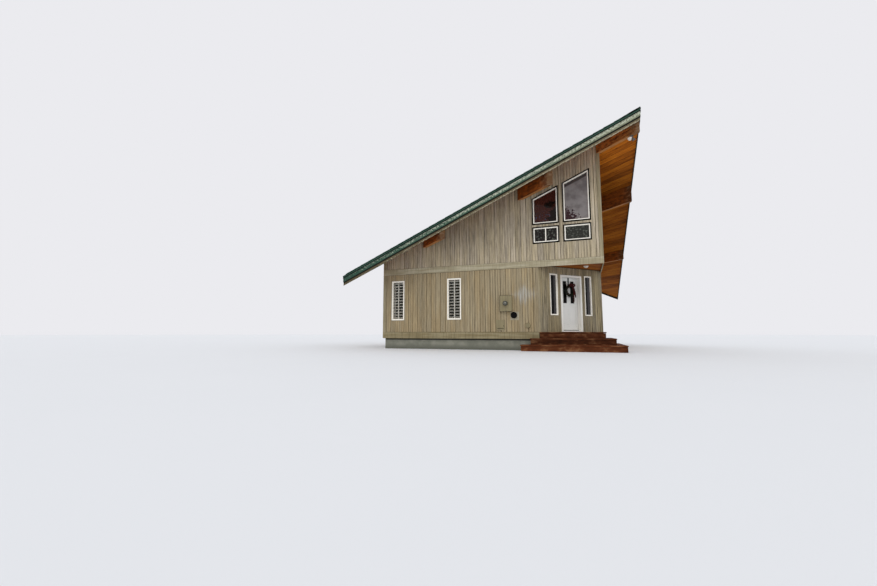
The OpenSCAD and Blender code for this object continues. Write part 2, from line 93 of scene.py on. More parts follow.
class Num:
    """A number in a shader, with Python operators that add Math nodes."""

    def __init__(self, shader: "Shader", socket: Socket) -> None:
        """Wraps an output socket of a shader."""
        self.shader = shader
        self.socket = socket

    def math(self, operation: str, *others: "Num | float") -> "Num":
        """Adds a Math node with this number first and the others behind it."""
        made = self.shader.node("ShaderNodeMath", {"operation": operation}, dict(enumerate((self, *others))))
        return Num(self.shader, made.outputs[0])

    def __add__(self, other: "Num | float") -> "Num":
        """Adds."""
        return self.math("ADD", other)

    def __mul__(self, other: "Num | float") -> "Num":
        """Multiplies."""
        return self.math("MULTIPLY", other)

    def __sub__(self, other: "Num | float") -> "Num":
        """Subtracts."""
        return self.math("SUBTRACT", other)

    def __rsub__(self, other: float) -> "Num":
        """Subtracts this number from a plain one."""
        return self * -1.0 + other

    def __truediv__(self, other: "Num | float") -> "Num":
        """Divides."""
        return self.math("DIVIDE", other)

    def __gt__(self, other: "Num | float") -> "Num":
        """Gives 1 where this number is the greater one, and 0 elsewhere."""
        return self.math("GREATER_THAN", other)

    def __abs__(self) -> "Num":
        """Drops the sign."""
        return self.math("ABSOLUTE")

    __radd__ = __add__
    __rmul__ = __mul__

    def clamped(self) -> "Num":
        """Keeps the number between 0 and 1."""
        return self.math("MINIMUM", 1.0).math("MAXIMUM", 0.0)

    def floor(self) -> "Num":
        """Rounds down."""
        return self.math("FLOOR")

    def step(self, low: float, high: float) -> "Num":
        """Rises smoothly from 0 at low to 1 at high.

        Args:
            low: The number where it starts to rise.
            high: The number where it has risen.

        Returns:
            A number from 0 to 1.
        """
        values = {"Value": self, "From Min": low, "From Max": high}
        made = self.shader.node("ShaderNodeMapRange", {"interpolation_type": "SMOOTHSTEP"}, values)
        return Num(self.shader, made.outputs[0])


Value = Num | float
Reals = np.ndarray | float


class Shader:
    """The node tree of a material or of the sky."""

    def __init__(self, block: bpy.types.Material | bpy.types.World) -> None:
        """Empties the tree of a material or a world.

        Args:
            block: The material or the world.
        """
        self.block = block
        block.use_nodes = True
        self.tree = block.node_tree
        self.tree.nodes.clear()

    def node(self, kind: str, settings: dict | None = None, values: dict | None = None) -> bpy.types.Node:
        """Adds a node of any type.

        Args:
            kind: The node's type.
            settings: Its settings, set first. The setting "stops" fills a ramp with place and colour pairs.
            values: The values or links of its sockets, by name or number. A text is a colour.

        Returns:
            The node.
        """
        made = self.tree.nodes.new(kind)
        for key, value in (settings or {}).items():
            if key == "stops":
                while len(made.color_ramp.elements) < len(value):
                    made.color_ramp.elements.new(0.5)
                for element, (place, colour) in zip(list(made.color_ramp.elements), value):
                    element.position = place
                    element.color = srgb(colour)
            else:
                setattr(made, key, value)
        for key, value in (values or {}).items():
            if isinstance(value, Num):
                value = value.socket
            if isinstance(value, Socket):
                self.tree.links.new(value, made.inputs[key])
            else:
                made.inputs[key].default_value = srgb(value) if isinstance(value, str) else value
        return made

    def split(self, vector: Socket) -> tuple[Num, Num, Num]:
        """Splits a vector into its three numbers."""
        made = self.node("ShaderNodeSeparateXYZ", None, {0: vector})
        return tuple(Num(self, output) for output in made.outputs)

    def place(self) -> tuple[Num, Num, Num]:
        """Gives the place on the piece in object coordinates."""
        return self.split(self.node("ShaderNodeTexCoord").outputs["Object"])

    def run(self) -> Num:
        """Gives the distance along a wall: |x| less |y|, over the root of two."""
        x, y, _ = self.place()
        return (abs(x) - abs(y)) / ROOT2

    def facing(self) -> tuple[Num, Num, Num]:
        """Gives the direction that the surface faces."""
        return self.split(self.node("ShaderNodeNewGeometry").outputs["True Normal"])

    def uv(self) -> tuple[Num, Num, Num]:
        """Gives the piece's own surface coordinates."""
        return self.split(self.node("ShaderNodeTexCoord").outputs["UV"])

    def tone(self) -> Num:
        """Gives the tone attribute that each board carries."""
        return Num(self, self.node("ShaderNodeAttribute", {"attribute_name": "tone"}).outputs["Fac"])

    def vector(self, x: Value, y: Value, z: Value) -> Socket:
        """Joins three numbers into a vector."""
        return self.node("ShaderNodeCombineXYZ", None, {0: x, 1: y, 2: z}).outputs[0]

    def noise(self, x: Value, y: Value, z: Value = 0.0, detail: float = 3.0, rough: float = 0.55) -> Num:
        """Gives smooth noise from 0 to 1 with a mean of 0.5, at three coordinates."""
        values = {"Vector": self.vector(x, y, z), "Scale": 1.0, "Detail": detail, "Roughness": rough}
        return Num(self, self.node("ShaderNodeTexNoise", None, values).outputs["Fac"])

    def cloud(self, scale: float, detail: float) -> Num:
        """Gives noise that is alike in all directions, with about that many patches a metre."""
        x, y, z = self.place()
        return self.noise(x * scale, y * scale, z * scale, detail)

    def cells(self, x: Value, y: Value, z: Value) -> tuple[Num, Num]:
        """Gives the distance to the nearest scattered point and that point's own random number."""
        made = self.node("ShaderNodeTexVoronoi", None, {"Vector": self.vector(x, y, z), "Scale": 1.0})
        return Num(self, made.outputs["Distance"]), self.split(made.outputs["Color"])[0]

    def mix(self, amount: Value, first: Colour, second: Colour) -> Socket:
        """Mixes two colours, the first at an amount of 0 and the second at 1."""
        return self.node("ShaderNodeMix", {"data_type": "RGBA"}, {0: amount, 6: first, 7: second}).outputs[2]

    def scale(self, colour: Socket, amount: Num) -> Socket:
        """Brightens or darkens a colour by a number."""
        values = {0: colour, "Scale": amount}
        return self.node("ShaderNodeVectorMath", {"operation": "SCALE"}, values).outputs[0]

    def ramp(self, number: Num, *stops: tuple[float, str]) -> Socket:
        """Gives the colour at a number between stops of place and colour."""
        return self.node("ShaderNodeValToRGB", {"stops": stops}, {0: number.clamped()}).outputs[0]

    def surface(self, base: Colour, rough: Value, shine: float = 0.5, relief: Num | None = None,
                depth: float = 0.0, strength: float = 1.0, **more: Value) -> bpy.types.Material:
        """Ends the tree in a Principled shader.

        Args:
            base: The colour.
            rough: The roughness.
            shine: The specular level.
            relief: What raises the surface, if anything.
            depth: How far it raises it, in metres.
            strength: How strongly that shows.
            more: Other sockets by name.

        Returns:
            The finished material.
        """
        values = {"Base Color": base, "Roughness": rough, "Specular IOR Level": shine, **more}
        if relief is not None:
            raised = {"Height": relief, "Distance": depth, "Strength": strength}
            values["Normal"] = self.node("ShaderNodeBump", None, raised).outputs[0]
        made = self.node("ShaderNodeBsdfPrincipled", None, values)
        self.node("ShaderNodeOutputMaterial", None, {"Surface": made.outputs[0]})
        return self.block


@dataclass(frozen=True)
class Sizes:
    """The cabin's driving sizes, read from the frame where it shows them."""

    half_diag: float = edge("upper_wall_back_right", 1, 0)
    porch_half: float = edge("entry_soffit", 1, 0)
    entry_y: float = edge("entry_wall_head", 0, 1)
    floor_z: float = edge("ground_floor", 1, 2)
    upper_z: float = edge("upper_floor", 1, 2)
    base_top: float = edge("base_boards", 1, 2)
    band_foot: float = edge("belly_band", 0, 2)
    band_top: float = edge("belly_band", 1, 2)
    soffit_z: float = edge("entry_soffit", 0, 2)
    porch_z: float = edge("porch_platform", 1, 2)
    roof_r: float = edge("roof_metal_right", 1, 0)
    cap: float = 0.010
    ridge_z: float = edge("ridge_cap", 1, 2) - cap
    slope: float = math.tan(math.radians(32))
    roof_depth: float = 0.350
    corner_w: float = 0.092
    deck_inset: float = 0.058
    beam_w: float = 0.140

    @property
    def wall_len(self) -> float:
        """Length of a wall."""
        return self.half_diag * ROOT2

    @property
    def entry_s(self) -> float:
        """Distance along a front wall from the prow to the entry wall."""
        return self.porch_half * ROOT2

    @property
    def tip(self) -> float:
        """The sum of |x| and |y| at the fascias' inner faces, where the deck and the beams end."""
        return self.roof_r - self.deck_inset * ROOT2

    def soffit(self, x: Reals) -> Reals:
        """Height of the soffit: the ridge less the roof's depth, less the slope times |x|."""
        return self.ridge_z - self.roof_depth - self.slope * np.abs(x)


class Finish:
    """A surface finish that makes its material once."""

    made: dict["Finish", bpy.types.Material] = {}

    def material(self) -> bpy.types.Material:
        """Gives the finish's material.

        Returns:
            The one material that all its pieces share.
        """
        if self not in Finish.made:
            block = bpy.data.materials.new(f"{type(self).__name__}{len(Finish.made)}")
            Finish.made[self] = self.paint(Shader(block))
        return Finish.made[self]

    def paint(self, shader: Shader) -> bpy.types.Material:
        """Builds the material in an empty shader."""
        raise NotImplementedError


@dataclass(frozen=True)
class StainedSiding(Finish):
    """Rough-sawn siding boards under a stain that has worn along the grain.

    Noises stretched along the board and shifted by its own tone darken and lighten the stain in streaks.
    A bleached patch is given by its middle and its half sizes.
    """

    warm: str = "a08e6e"
    grey: str = "9e9075"
    contrast: float = 1.0
    bleached: tuple[float, float, float, float] = (0.0, -9.0, 1.0, 1.0)

    def paint(self, shader: Shader) -> bpy.types.Material:
        """Builds the material.

        Args:
            shader: The empty shader that it is built in.

        Returns:
            The finished material.
        """
        s, z, _ = shader.uv()
        tone = shader.tone()
        hue = shader.noise(s * 4, z * 0.5, tone * 3, 2)
        wide = shader.noise(s * 24, z * 0.8, tone * 23)
        thin = shader.noise(s * 75, z * 2.4, tone * 40, 4)
        fibre = shader.noise(s * 380, z * 12, tone * 17, 2)
        near, lot = shader.cells(s * 11, z * 2.2, tone * 31)
        knot = (1 - near.step(0.04, 0.09)) * (lot > 0.85)
        level = (wide - 0.5) * 1.0 + (thin - 0.5) * 1.1 + (fibre - 0.5) * 0.4 + (tone - 0.5) * 0.3
        base = shader.mix(hue.step(0.36, 0.64), self.warm, self.grey)
        base = shader.scale(base, level * self.contrast + 1.0)
        base = shader.mix(thin.step(0.62, 0.8) * 0.35 + knot * 0.6, base, "4a4231")
        middle, height, half, rise = self.bleached
        off = abs(s - middle) / half + abs(z - height) / rise + (wide - 0.5) * 2.4
        base = shader.mix((1 - off.step(0.3, 1.2)) * (thin.step(0.38, 0.6) * 0.5 + 0.12), base, "bcbdba")
        relief = thin * 0.6 + fibre * 0.4 - knot * 0.3
        return shader.surface(base, thin * 0.18 + 0.76, 0.12, relief, 0.0018, 0.8)


@dataclass(frozen=True)
class WeatheredTrim(Finish):
    """Stained trim boards along or up the walls, with run-off streaks."""

    stain: str = "a0967b"
    worn: str = "b5ac93"
    upright: bool = False

    def paint(self, shader: Shader) -> bpy.types.Material:
        """Builds the material.

        Args:
            shader: The empty shader that it is built in.

        Returns:
            The finished material.
        """
        run = shader.run()
        z = shader.place()[2]
        along, across = (z, run) if self.upright else (run, z)
        grain = shader.noise(along * 3, across * 95, 5.0, 4)
        streak = shader.noise(along * 0.9, across * 12, 9.0)
        drip = shader.noise(run * 22, z * 1.3, 2.0)
        base = shader.mix(streak.step(0.4, 0.65), self.stain, self.worn)
        base = shader.scale(base, (drip - 0.5) * 0.9 + (grain - 0.5) * 0.5 + 1.0)
        base = shader.mix(grain.step(0.56, 0.8) * 0.35, base, "5f5644")
        return shader.surface(base, grain * 0.2 + 0.74, 0.25, grain + streak * 0.5, 0.0012, 0.8)


@dataclass(frozen=True)
class RakeBoard(Finish):
    """Boards of the fascia, whose stain or paint changes from the low ends to the ridge.

    The height above the board's foot is z plus the slope times |x|, less that sum at the foot. Chalk lies
    in a level band of the board. A dashed dark line of painted shade runs along the fascia's foot, or along
    the top of the board below, where the fascia above shades it, and faces that look inwards or down are
    painted dark as shade.
    """

    sizes: Sizes
    drop: float
    depth: float
    tones: tuple[str, str, str] = ("2c4a3c", "3f5b49", "84876f")
    chalk: str = "c0c4af"
    band: tuple[float, float] = (0.66, 0.42)
    # Painted shade: the next flag puts a dashed dark line at the board's foot, or else at its top, and dark
    # is its colour.
    shade_at_foot: bool = True
    dark: str = "12130d"

    def paint(self, shader: Shader) -> bpy.types.Material:
        """Builds the material.

        Args:
            shader: The empty shader that it is built in.

        Returns:
            The finished material.
        """
        x, y, z = shader.place()
        nx, ny, nz = shader.facing()
        run = shader.run()
        up = (z + abs(x) * self.sizes.slope - (self.sizes.ridge_z - self.drop)) / self.depth
        high = 1 - abs(x) / self.sizes.roof_r
        grain = shader.noise(run * 3, up * 12, 1.0, 4)
        patch = shader.noise(run * 1.6, up * 1.2, 6.0, 4)
        fleck = shader.noise(run * 17, up * 5, 2.0, 5, 0.65)
        base = shader.ramp((patch - 0.5) * 0.3 + high, *zip((0.05, 0.6, 0.92), self.tones))
        base = shader.scale(base, (grain - 0.5) * 1.1 + (fleck - 0.5) * 2.8 + 1.0)
        centre, half = self.band
        near = 1 - (abs(up - centre) / half).step(0.5, 1.1)
        bare = (fleck * 0.9 + patch * 0.4 + high * 0.3).step(0.68, 0.84)
        flaked = fleck.step(0.42, 0.55) * 0.95 + 0.05
        base = shader.mix(near * (bare * flaked) * 0.9, base, self.chalk)
        # Painted shade: a dashed dark line at the fascia's foot, or at the top of the board below the fascia.
        line = 1 - up.step(0.04, 0.12) if self.shade_at_foot else up.step(0.6, 0.74)
        base = shader.mix(line * (fleck.step(0.3, 0.44) * 0.5 + 0.5), base, self.dark)
        # Painted shade: faces that look inwards or down are darkened.
        shown = ((nx * x + ny * y) > 0.05) * (nz > -0.5)
        base = shader.mix((1 - shown) * 0.85, base, self.dark)
        return shader.surface(base, grain * 0.2 + 0.72, 0.25, grain + patch, 0.0012, 0.7)


@dataclass(frozen=True)
class StainedCedar(Finish):
    """Oiled cedar lining boards, each with its own tone, with painted light that brightens them near the
    ridge.

    The first surface coordinate runs along the board. The second runs across it and starts at the ridge.
    """

    def paint(self, shader: Shader) -> bpy.types.Material:
        """Builds the material.

        Args:
            shader: The empty shader that it is built in.

        Returns:
            The finished material.
        """
        along, across, _ = shader.uv()
        tone = shader.tone()
        ring = shader.noise(along * 1.6, across * 30, tone * 50, 5, 0.6)
        fibre = shader.noise(along * 9, across * 260, tone * 11, 2)
        near, lot = shader.cells(along * 1.7, across * 9, tone * 19)
        knot = (1 - near.step(0.05, 0.13)) * (lot > 0.7)
        cloud = shader.noise(along * 0.7, across * 2.5, 4.0, 4)
        level = tone * 0.5 + ring * 0.9 + cloud * 0.6 - 0.5
        base = shader.ramp(level, (0.2, "6c390b"), (0.5, "9a5613"), (0.8, "b8701f"))
        # Painted light: boards near the ridge are brightened.
        base = shader.scale(base, (1 - abs(across).step(0.3, 1.9)) * 0.85 + 1.0)
        base = shader.mix(fibre.step(0.5, 0.8) * 0.3 + knot * 0.6, base, "38190a")
        relief = ring * 0.5 + fibre * 0.5 - knot * 0.4
        return shader.surface(base, fibre * 0.25 + 0.55, 0.15, relief, 0.001, 0.7)


@dataclass(frozen=True)
class LaminatedBeam(Finish):
    """Orange-brown laminated beams along Y, paler underneath, with greyed end grain.

    The side shows layers of one board's height. The ends are told by their slanting direction, and the
    last stretch before them, where |x| + |y| comes near the tip, has weathered brown.
    """

    tip: float
    stain: str = "9d5218"
    deep: str = "552a0d"
    layer: float = 0.038

    def paint(self, shader: Shader) -> bpy.types.Material:
        """Builds the material.

        Args:
            shader: The empty shader that it is built in.

        Returns:
            The finished material.
        """
        x, y, z = shader.place()
        nx, ny, nz = shader.facing()
        ply = (z / self.layer).floor()
        grain = shader.noise(y * 1.6, z * 26 + x * 26, ply * 7.3, 5, 0.62)
        mottle = shader.noise(y * 5, z * 9, x.floor() * 5.0, 4)
        base = shader.ramp(grain * 1.3 + mottle * 1.6 - 0.95, (0.2, self.deep), (0.72, self.stain))
        seam = (abs(z / self.layer - ply - 0.5) > 0.455) * 0.4
        base = shader.mix(seam, base, self.deep)
        check = shader.noise((x + y) * 60, z * 9, 4.0)
        cut = shader.mix(check.step(0.45, 0.65), "85633c", "6a4222")
        base = shader.mix((abs(nx * ny) > 0.2) * 0.9, base, cut)
        base = shader.mix((0 - nz).step(0.6, 0.95) * 0.7, base, "b9814d")
        worn = (1 - (self.tip - abs(x) - abs(y)).step(0.02, 0.5)) * (mottle.step(0.35, 0.6) * 0.4 + 0.5)
        base = shader.mix(worn, base, shader.mix(mottle.step(0.45, 0.6), "3e2614", "6f563f"))
        return shader.surface(base, grain * 0.25 + 0.6, 0.2, grain - seam, 0.0015, 0.7)


@dataclass(frozen=True)
class CoatedSteel(Finish):
    """Dark green coated roofing steel with faint waves, dust and run-off streaks down the slope.

    On upright faces, painted shade darkens the coat just under the sheet's edge and at the foot of the
    folded edge. The depth there is the ridge's height less z and the slope times |x|. The hem is where the
    first stretch of painted shade fades out, and the fold is where the second one fades in.
    """

    sizes: Sizes
    grime_and_shade: str = "080d0a"
    hem: tuple[float, float] = (0.052, 0.064)
    fold: tuple[float, float] = (0.092, 0.102)

    def paint(self, shader: Shader) -> bpy.types.Material:
        """Builds the material.

        Args:
            shader: The empty shader that it is built in.

        Returns:
            The finished material.
        """
        x, y, z = shader.place()
        nz = shader.facing()[2]
        streak = shader.noise(abs(x) * 0.5, y * 14, 1.0, 4)
        cloud = shader.cloud(0.6, 3)
        speck = shader.cloud(70, 2)
        wave = shader.noise(x * 2.2, y * 9, 2.0, 1)
        dust = (streak.step(0.45, 0.75) * 0.35 + cloud.step(0.4, 0.7) * 0.25).clamped()
        base = shader.mix(dust, "28493b", "4b6a5b")
        base = shader.mix(speck.step(0.6, 0.75) * 0.35, base, self.grime_and_shade)
        # Painted shade on upright faces: dark under the sheet's edge and at the foot of the folded edge.
        depth = self.sizes.ridge_z - (z + abs(x) * self.sizes.slope)
        rim = (1 - depth.step(*self.hem)) * 0.85 + depth.step(*self.fold)
        base = shader.mix(rim * (1 - abs(nz).step(0.25, 0.4)), base, self.grime_and_shade)
        return shader.surface(base, streak * 0.2 + speck * 0.06 + 0.42, 0.14, wave, 0.004, 0.35)


@dataclass(frozen=True)
class PlainMatt(Finish):
    """A matt painted or natural surface in two tones.

    A broad noise mixes the second tone in: its patches a metre, where it starts and ends, and its share. A
    fine noise roughens and raises the surface: its patches a metre, its detail, and how much it does of
    both.
    """

    colour: str
    other: str
    rough: float = 0.7
    shine: float = 0.25
    metallic: float = 0.0
    broad: tuple[float, float, float, float] = (30, 0.35, 0.7, 1.0)
    fine: tuple[float, float, float, float, float] = (30, 4, 0.15, 0.0006, 0.7)

    def paint(self, shader: Shader) -> bpy.types.Material:
        """Builds the material.

        Args:
            shader: The empty shader that it is built in.

        Returns:
            The finished material.
        """
        scale, low, high, share = self.broad
        base = shader.mix(shader.cloud(scale, 4).step(low, high) * share, self.colour, self.other)
        scale, detail, spread, depth, strength = self.fine
        grain = shader.cloud(scale, detail)
        return shader.surface(base, grain * spread + self.rough, self.shine, grain, depth, strength,
                              Metallic=self.metallic)


@dataclass(frozen=True)
class DarkMetal(PlainMatt):
    """Painted or plated metal with worn places."""

    rough: float = 0.42
    shine: float = 0.3
    broad: tuple[float, float, float, float] = (14, 0.55, 0.8, 0.5)
    fine: tuple[float, float, float, float, float] = (220, 2, 0.12, 0.0002, 0.4)


@dataclass(frozen=True)
class Vinyl(PlainMatt):
    """White extruded section or enamel, with dust in the low places."""

    colour: str = "fff9ec"
    other: str = "ddd8c8"
    rough: float = 0.38
    shine: float = 0.5
    broad: tuple[float, float, float, float] = (5, 0.5, 0.8, 0.35)
    fine: tuple[float, float, float, float, float] = (130, 2, 0.14, 0.0002, 0.5)


@dataclass(frozen=True)
class LampEnamel(Finish):
    """White enamel of the twin lamp; all but the head at -X below its foot is painted grey as shade."""

    foot: float

    def paint(self, shader: Shader) -> bpy.types.Material:
        """Builds the material.

        Args:
            shader: The empty shader that it is built in.

        Returns:
            The finished material.
        """
        x, _, z = shader.place()
        cloud = shader.cloud(18, 3)
        # Painted shade: grey covers the head at +X and everything above the foot.
        grey = shader.mix(cloud, "4a4038", "6e645b")
        base = shader.mix((1 - (x > -0.02)) * (1 - (z > self.foot)), grey, "e8dfd4")
        return shader.surface(base, cloud * 0.15 + 0.35)


@dataclass(frozen=True)
class DoorEnamel(Finish):
    """Grey-white enamel on a steel-faced door, with a faint embossed grain and scuffs near the foot."""

    def paint(self, shader: Shader) -> bpy.types.Material:
        """Builds the material.

        Args:
            shader: The empty shader that it is built in.

        Returns:
            The finished material.
        """
        x, y, z = shader.place()
        grain = shader.noise(x * 120, y * 10, z * 5)
        mark = shader.noise(x * 9, y * 2, z * 26, 4).step(0.56, 0.7)
        base = shader.mix(mark * ((1 - z.step(0.7, 1.1)) * 0.5 + 0.05), "e0dfda", "96928a")
        return shader.surface(base, grain * 0.16 + 0.36, 0.5, grain, 0.0004, 0.5)


@dataclass(frozen=True)
class Glazing(Finish):
    """Glazing in front of a dark inside: how much of its tone, partly painted sky reflection, covers what
    stands behind it.
    """

    tint: str = "54554d"
    smear: str = "6c7067"
    cover: float = 0.15
    shine: float = 0.12

    def paint(self, shader: Shader) -> bpy.types.Material:
        """Builds the material.

        Args:
            shader: The empty shader that it is built in.

        Returns:
            The finished material.
        """
        film = shader.noise(shader.run() * 22, shader.place()[2] * 3, 0.0, 4)
        # Painted reflection: the tint that covers what is behind stands partly for the sky's reflection,
        # mixed with smears on the glass.
        base = shader.mix(film.step(0.45, 0.75), self.tint, self.smear)
        colour, cover = self.picture(shader, base, film.step(0.5, 0.9) * 0.06 + self.cover)
        return shader.surface(colour, film.step(0.55, 0.85) * 0.05 + 0.03, self.shine, shader.cloud(1.3, 1),
                              0.01, 0.12, Alpha=cover)

    def picture(self, shader: Shader, base: Socket, cover: Num) -> tuple[Socket, Num]:
        """Gives the pane's colour and how much it covers, from its plain tone and cover."""
        return base, cover


@dataclass(frozen=True)
class HallGlazing(Glazing):
    """Ground floor glazing. Beside the door, a curtain hangs behind the right part of each sidelight.

    The sidelights are the panes whose |x| is under the reach, with their middles at side_x on both sides.
    The curtain covers less of the left one.
    """

    side_x: float = 0.849
    reach: float = 1.300

    def picture(self, shader: Shader, base: Socket, cover: Num) -> tuple[Socket, Num]:
        """Gives the pane's colour and how much it covers.

        Args:
            shader: The shader that it is built in.
            base: The pane's plain tone.
            cover: How much that tone covers.

        Returns:
            The colour, and how much it covers.
        """
        x, _, z = shader.place()
        beside = 1 - (abs(x) > self.reach)
        fold = shader.noise(x * 30, z * 0.8, 2.0)
        curtain = shader.mix(fold.step(0.35, 0.65), "3a3a37", "555153")
        off = x - ((x > 0.0) * (2 * self.side_x) - self.side_x)
        shown = shader.mix(off + (x > 0.0) * 0.035 > 0.025, "060505", curtain)
        return shader.mix(beside, base, shown), cover + beside * (0.96 - self.cover)


@dataclass(frozen=True)
class RoomGlazing(Glazing):
    """Upper glazing that hides a dim inside: blinds and curtains behind it are soft areas of tone.

    The raked panes are the ones above the rail, and the ones near the prow have the smaller |x|. Those
    have a band of painted shade where z plus the slope times |x| is above the band's height, and a painted
    plant shadow in their low outer corner. The far raked panes show a painted reflection of the brown
    soffit, blue-grey lower down.
    """

    rail: float = 4.6
    split: float = 0.98
    band: float = 6.1
    slope: float = 0.62
    cover: float = 0.93

    def picture(self, shader: Shader, base: Socket, cover: Num) -> tuple[Socket, Num]:
        """Gives the pane's colour and how much it covers.

        Args:
            shader: The shader that it is built in.
            base: The pane's plain tone.
            cover: How much that tone covers.

        Returns:
            The colour, and how much it covers.
        """
        x, _, z = shader.place()
        run = shader.run()
        cloud = shader.noise(run * 2.1, z * 2.1, 3.0)
        fine = shader.noise(run * 14, z * 14, 5.0, 4)
        mark = fine.step(0.52, 0.66)
        first = 1 - (abs(x) > self.split)
        level = shader.mix(mark * 0.85, shader.mix(first, "231f1d", "34342f"), "6a6d64")
        # Painted reflection on the far raked panes: the brown soffit above, blue-grey lower down.
        reflection = shader.mix(mark * (1 - z.step(self.rail + 0.25, self.rail + 0.6)), "43221b", "45485a")
        reflection = shader.mix(cloud.step(0.5, 0.6), reflection, "1b1310")
        blind = shader.mix(cloud.step(0.4, 0.65), "8a8482", "6f6866")
        # Painted shade: a darker band at the top of the blinds.
        blind = shader.mix((z + abs(x) * self.slope - self.band).step(0.0, 0.05), blind, "4b4543")
        # Painted shadow of a plant in the low outer corner of the blinds.
        dark = 1 - (z - self.rail - (abs(x) - 0.45) * 1.3 + (fine - 0.5) * 1.6).step(0.0, 0.12)
        blind = shader.mix(dark, blind, "3a2628")
        return shader.mix(z > self.rail, level, shader.mix(first, reflection, blind)), cover


@dataclass(frozen=True)
class Concrete(Finish):
    """Poured concrete with board marks, air holes and damp near the ground; a black band under its head is
    painted shadow.
    """

    head: float
    damp: str = "4a4c42"
    board: float = 0.140

    def paint(self, shader: Shader) -> bpy.types.Material:
        """Builds the material.

        Args:
            shader: The empty shader that it is built in.

        Returns:
            The finished material.
        """
        x, y, z = shader.place()
        run = shader.run()
        cloud = shader.noise(run * 2.5, z * 2.5, 1.0, 5)
        fine = shader.cloud(55, 3)
        hole = 1 - shader.cells(x * 26, y * 26, z * 26)[0].step(0.1, 0.2)
        lift = shader.noise((z / self.board).floor() * 5.1, run * 0.3, 8.0, 1)
        base = shader.mix(cloud.step(0.35, 0.7), "77776a", "8f8e80")
        base = shader.mix(((1 - z.step(0.0, 0.25)) * cloud * 1.3).clamped(), base, self.damp)
        base = shader.mix(hole * 0.6, base, self.damp)
        # Painted shadow: a black band just under the head, where the base boards overhang.
        base = shader.mix(z.step(self.head - 0.075, self.head - 0.04) * 0.92, base, "0f0d09")
        return shader.surface(base, fine * 0.12 + 0.84, 0.5, fine * 0.5 + lift * 1.5 - hole, 0.002, 0.9)


@dataclass(frozen=True)
class StepTimber(Finish):
    """Dark red-brown deck boards, scuffed paler where feet land.

    The first surface coordinate runs along the board and the second across it.
    """

    def paint(self, shader: Shader) -> bpy.types.Material:
        """Builds the material.

        Args:
            shader: The empty shader that it is built in.

        Returns:
            The finished material.
        """
        along, across, _ = shader.uv()
        tone = shader.tone()
        nz = shader.facing()[2]
        ring = shader.noise(along * 1.6, across * 40, tone * 30, 5, 0.6)
        fibre = shader.noise(along * 14, across * 300, tone * 9, 2)
        patch = shader.noise(along * 3.5, across * 6, tone * 3, 4)
        base = shader.mix((ring * 0.8 + tone * 0.4 - 0.1).clamped(), "36190b", "6b391f")
        base = shader.mix(patch.step(0.5, 0.7) * (nz.step(0.5, 0.9) * 0.1 + 0.3), base, "8a6a4a")
        base = shader.scale(base, (patch - 0.5) * 2.2 + (tone - 0.5) * 0.8 + 1.1)
        return shader.surface(base, fibre * 0.3 + 0.58, 0.08, ring * 0.5 + fibre * 0.5, 0.0014, 0.8)


@dataclass(frozen=True)
class Foliage(Finish):
    """Needles whose tone attribute runs from old and dark to young and light."""

    def paint(self, shader: Shader) -> bpy.types.Material:
        """Builds the material.

        Args:
            shader: The empty shader that it is built in.

        Returns:
            The finished material.
        """
        cloud = shader.cloud(40, 2)
        base = shader.mix((shader.tone() * 0.8 + cloud * 0.4 - 0.1).clamped(), "0a0e07", "28341b")
        return shader.surface(base, cloud * 0.2 + 0.55, 0.2)


@dataclass(frozen=True)
class UtilityPaint(Finish):
    """Siding-coloured paint on the boxes of the front left wall, with a dark dial and a pale plate.

    There, the distance along the wall is (y - x) / root 2 and the distance out of it -(x + y) / root 2,
    both less their values at the prow.
    """

    prow: float
    dial_out: float
    plate: tuple[float, float, float, float]

    def paint(self, shader: Shader) -> bpy.types.Material:
        """Builds the material.

        Args:
            shader: The empty shader that it is built in.

        Returns:
            The finished material.
        """
        x, y, z = shader.place()
        s = (y - x + self.prow) / ROOT2
        out = (x + y + self.prow) / -ROOT2
        streak = shader.noise(s * 24, z * 0.9, 2.0, 4)
        cloud = shader.noise(s * 9, z * 9, 1.0, 4)
        base = shader.mix(streak.step(0.4, 0.6), "928767", "857a5e")
        middle, height, half, rise = self.plate
        slack = 0.002
        plate = (1 - (abs(s - middle) > half + slack)) * (1 - (abs(z - height) > rise + slack))
        base = shader.mix(plate, base, shader.mix(cloud.step(0.4, 0.7), "aca48d", "968d76"))
        base = shader.mix(out > self.dial_out, base, "45473f")
        return shader.surface(base, cloud * 0.15 + 0.55, 0.25, cloud, 0.0006, 0.6)


def unit(vectors: np.ndarray) -> np.ndarray:
    """Gives vectors of length 1 that point the same way."""
    return vectors / np.linalg.norm(vectors, axis=-1, keepdims=True)


def joined(*ends: tuple[Reals, ...]) -> np.ndarray:
    """Joins the coordinates of a solid's ends into an array of shape (1, ends, points, axes)."""
    return np.stack([np.stack(np.broadcast_arrays(*end), -1) for end in ends])[None]


def lathe(profile: list[tuple[float, float]], centre: np.ndarray, axis: np.ndarray,
          segments: int = 40) -> np.ndarray:
    """Turns a profile of (radius, height) points round an axis.

    A point is centre + axis * height + (across * cos a + over * sin a) * radius.

    Args:
        profile: Points from the foot to the top.
        centre: Where the axis starts.
        axis: Its direction, of length 1.
        segments: How many steps go round.

    Returns:
        Rings for Mesh.add_rings, of shape (1, points, segments, 3).
    """
    helper = np.array([0.0, 0.0, 1.0]) if abs(axis[2]) < 0.9 else np.array([1.0, 0.0, 0.0])
    across = unit(np.cross(axis, helper))
    over = np.cross(axis, across)
    angle = np.linspace(0, 2 * np.pi, segments, endpoint=False)
    disc = np.cos(angle)[:, None] * across + np.sin(angle)[:, None] * over
    radius, height = np.array(profile).T
    return (centre + height[:, None, None] * axis + np.maximum(radius, 1e-4)[:, None, None] * disc)[None]


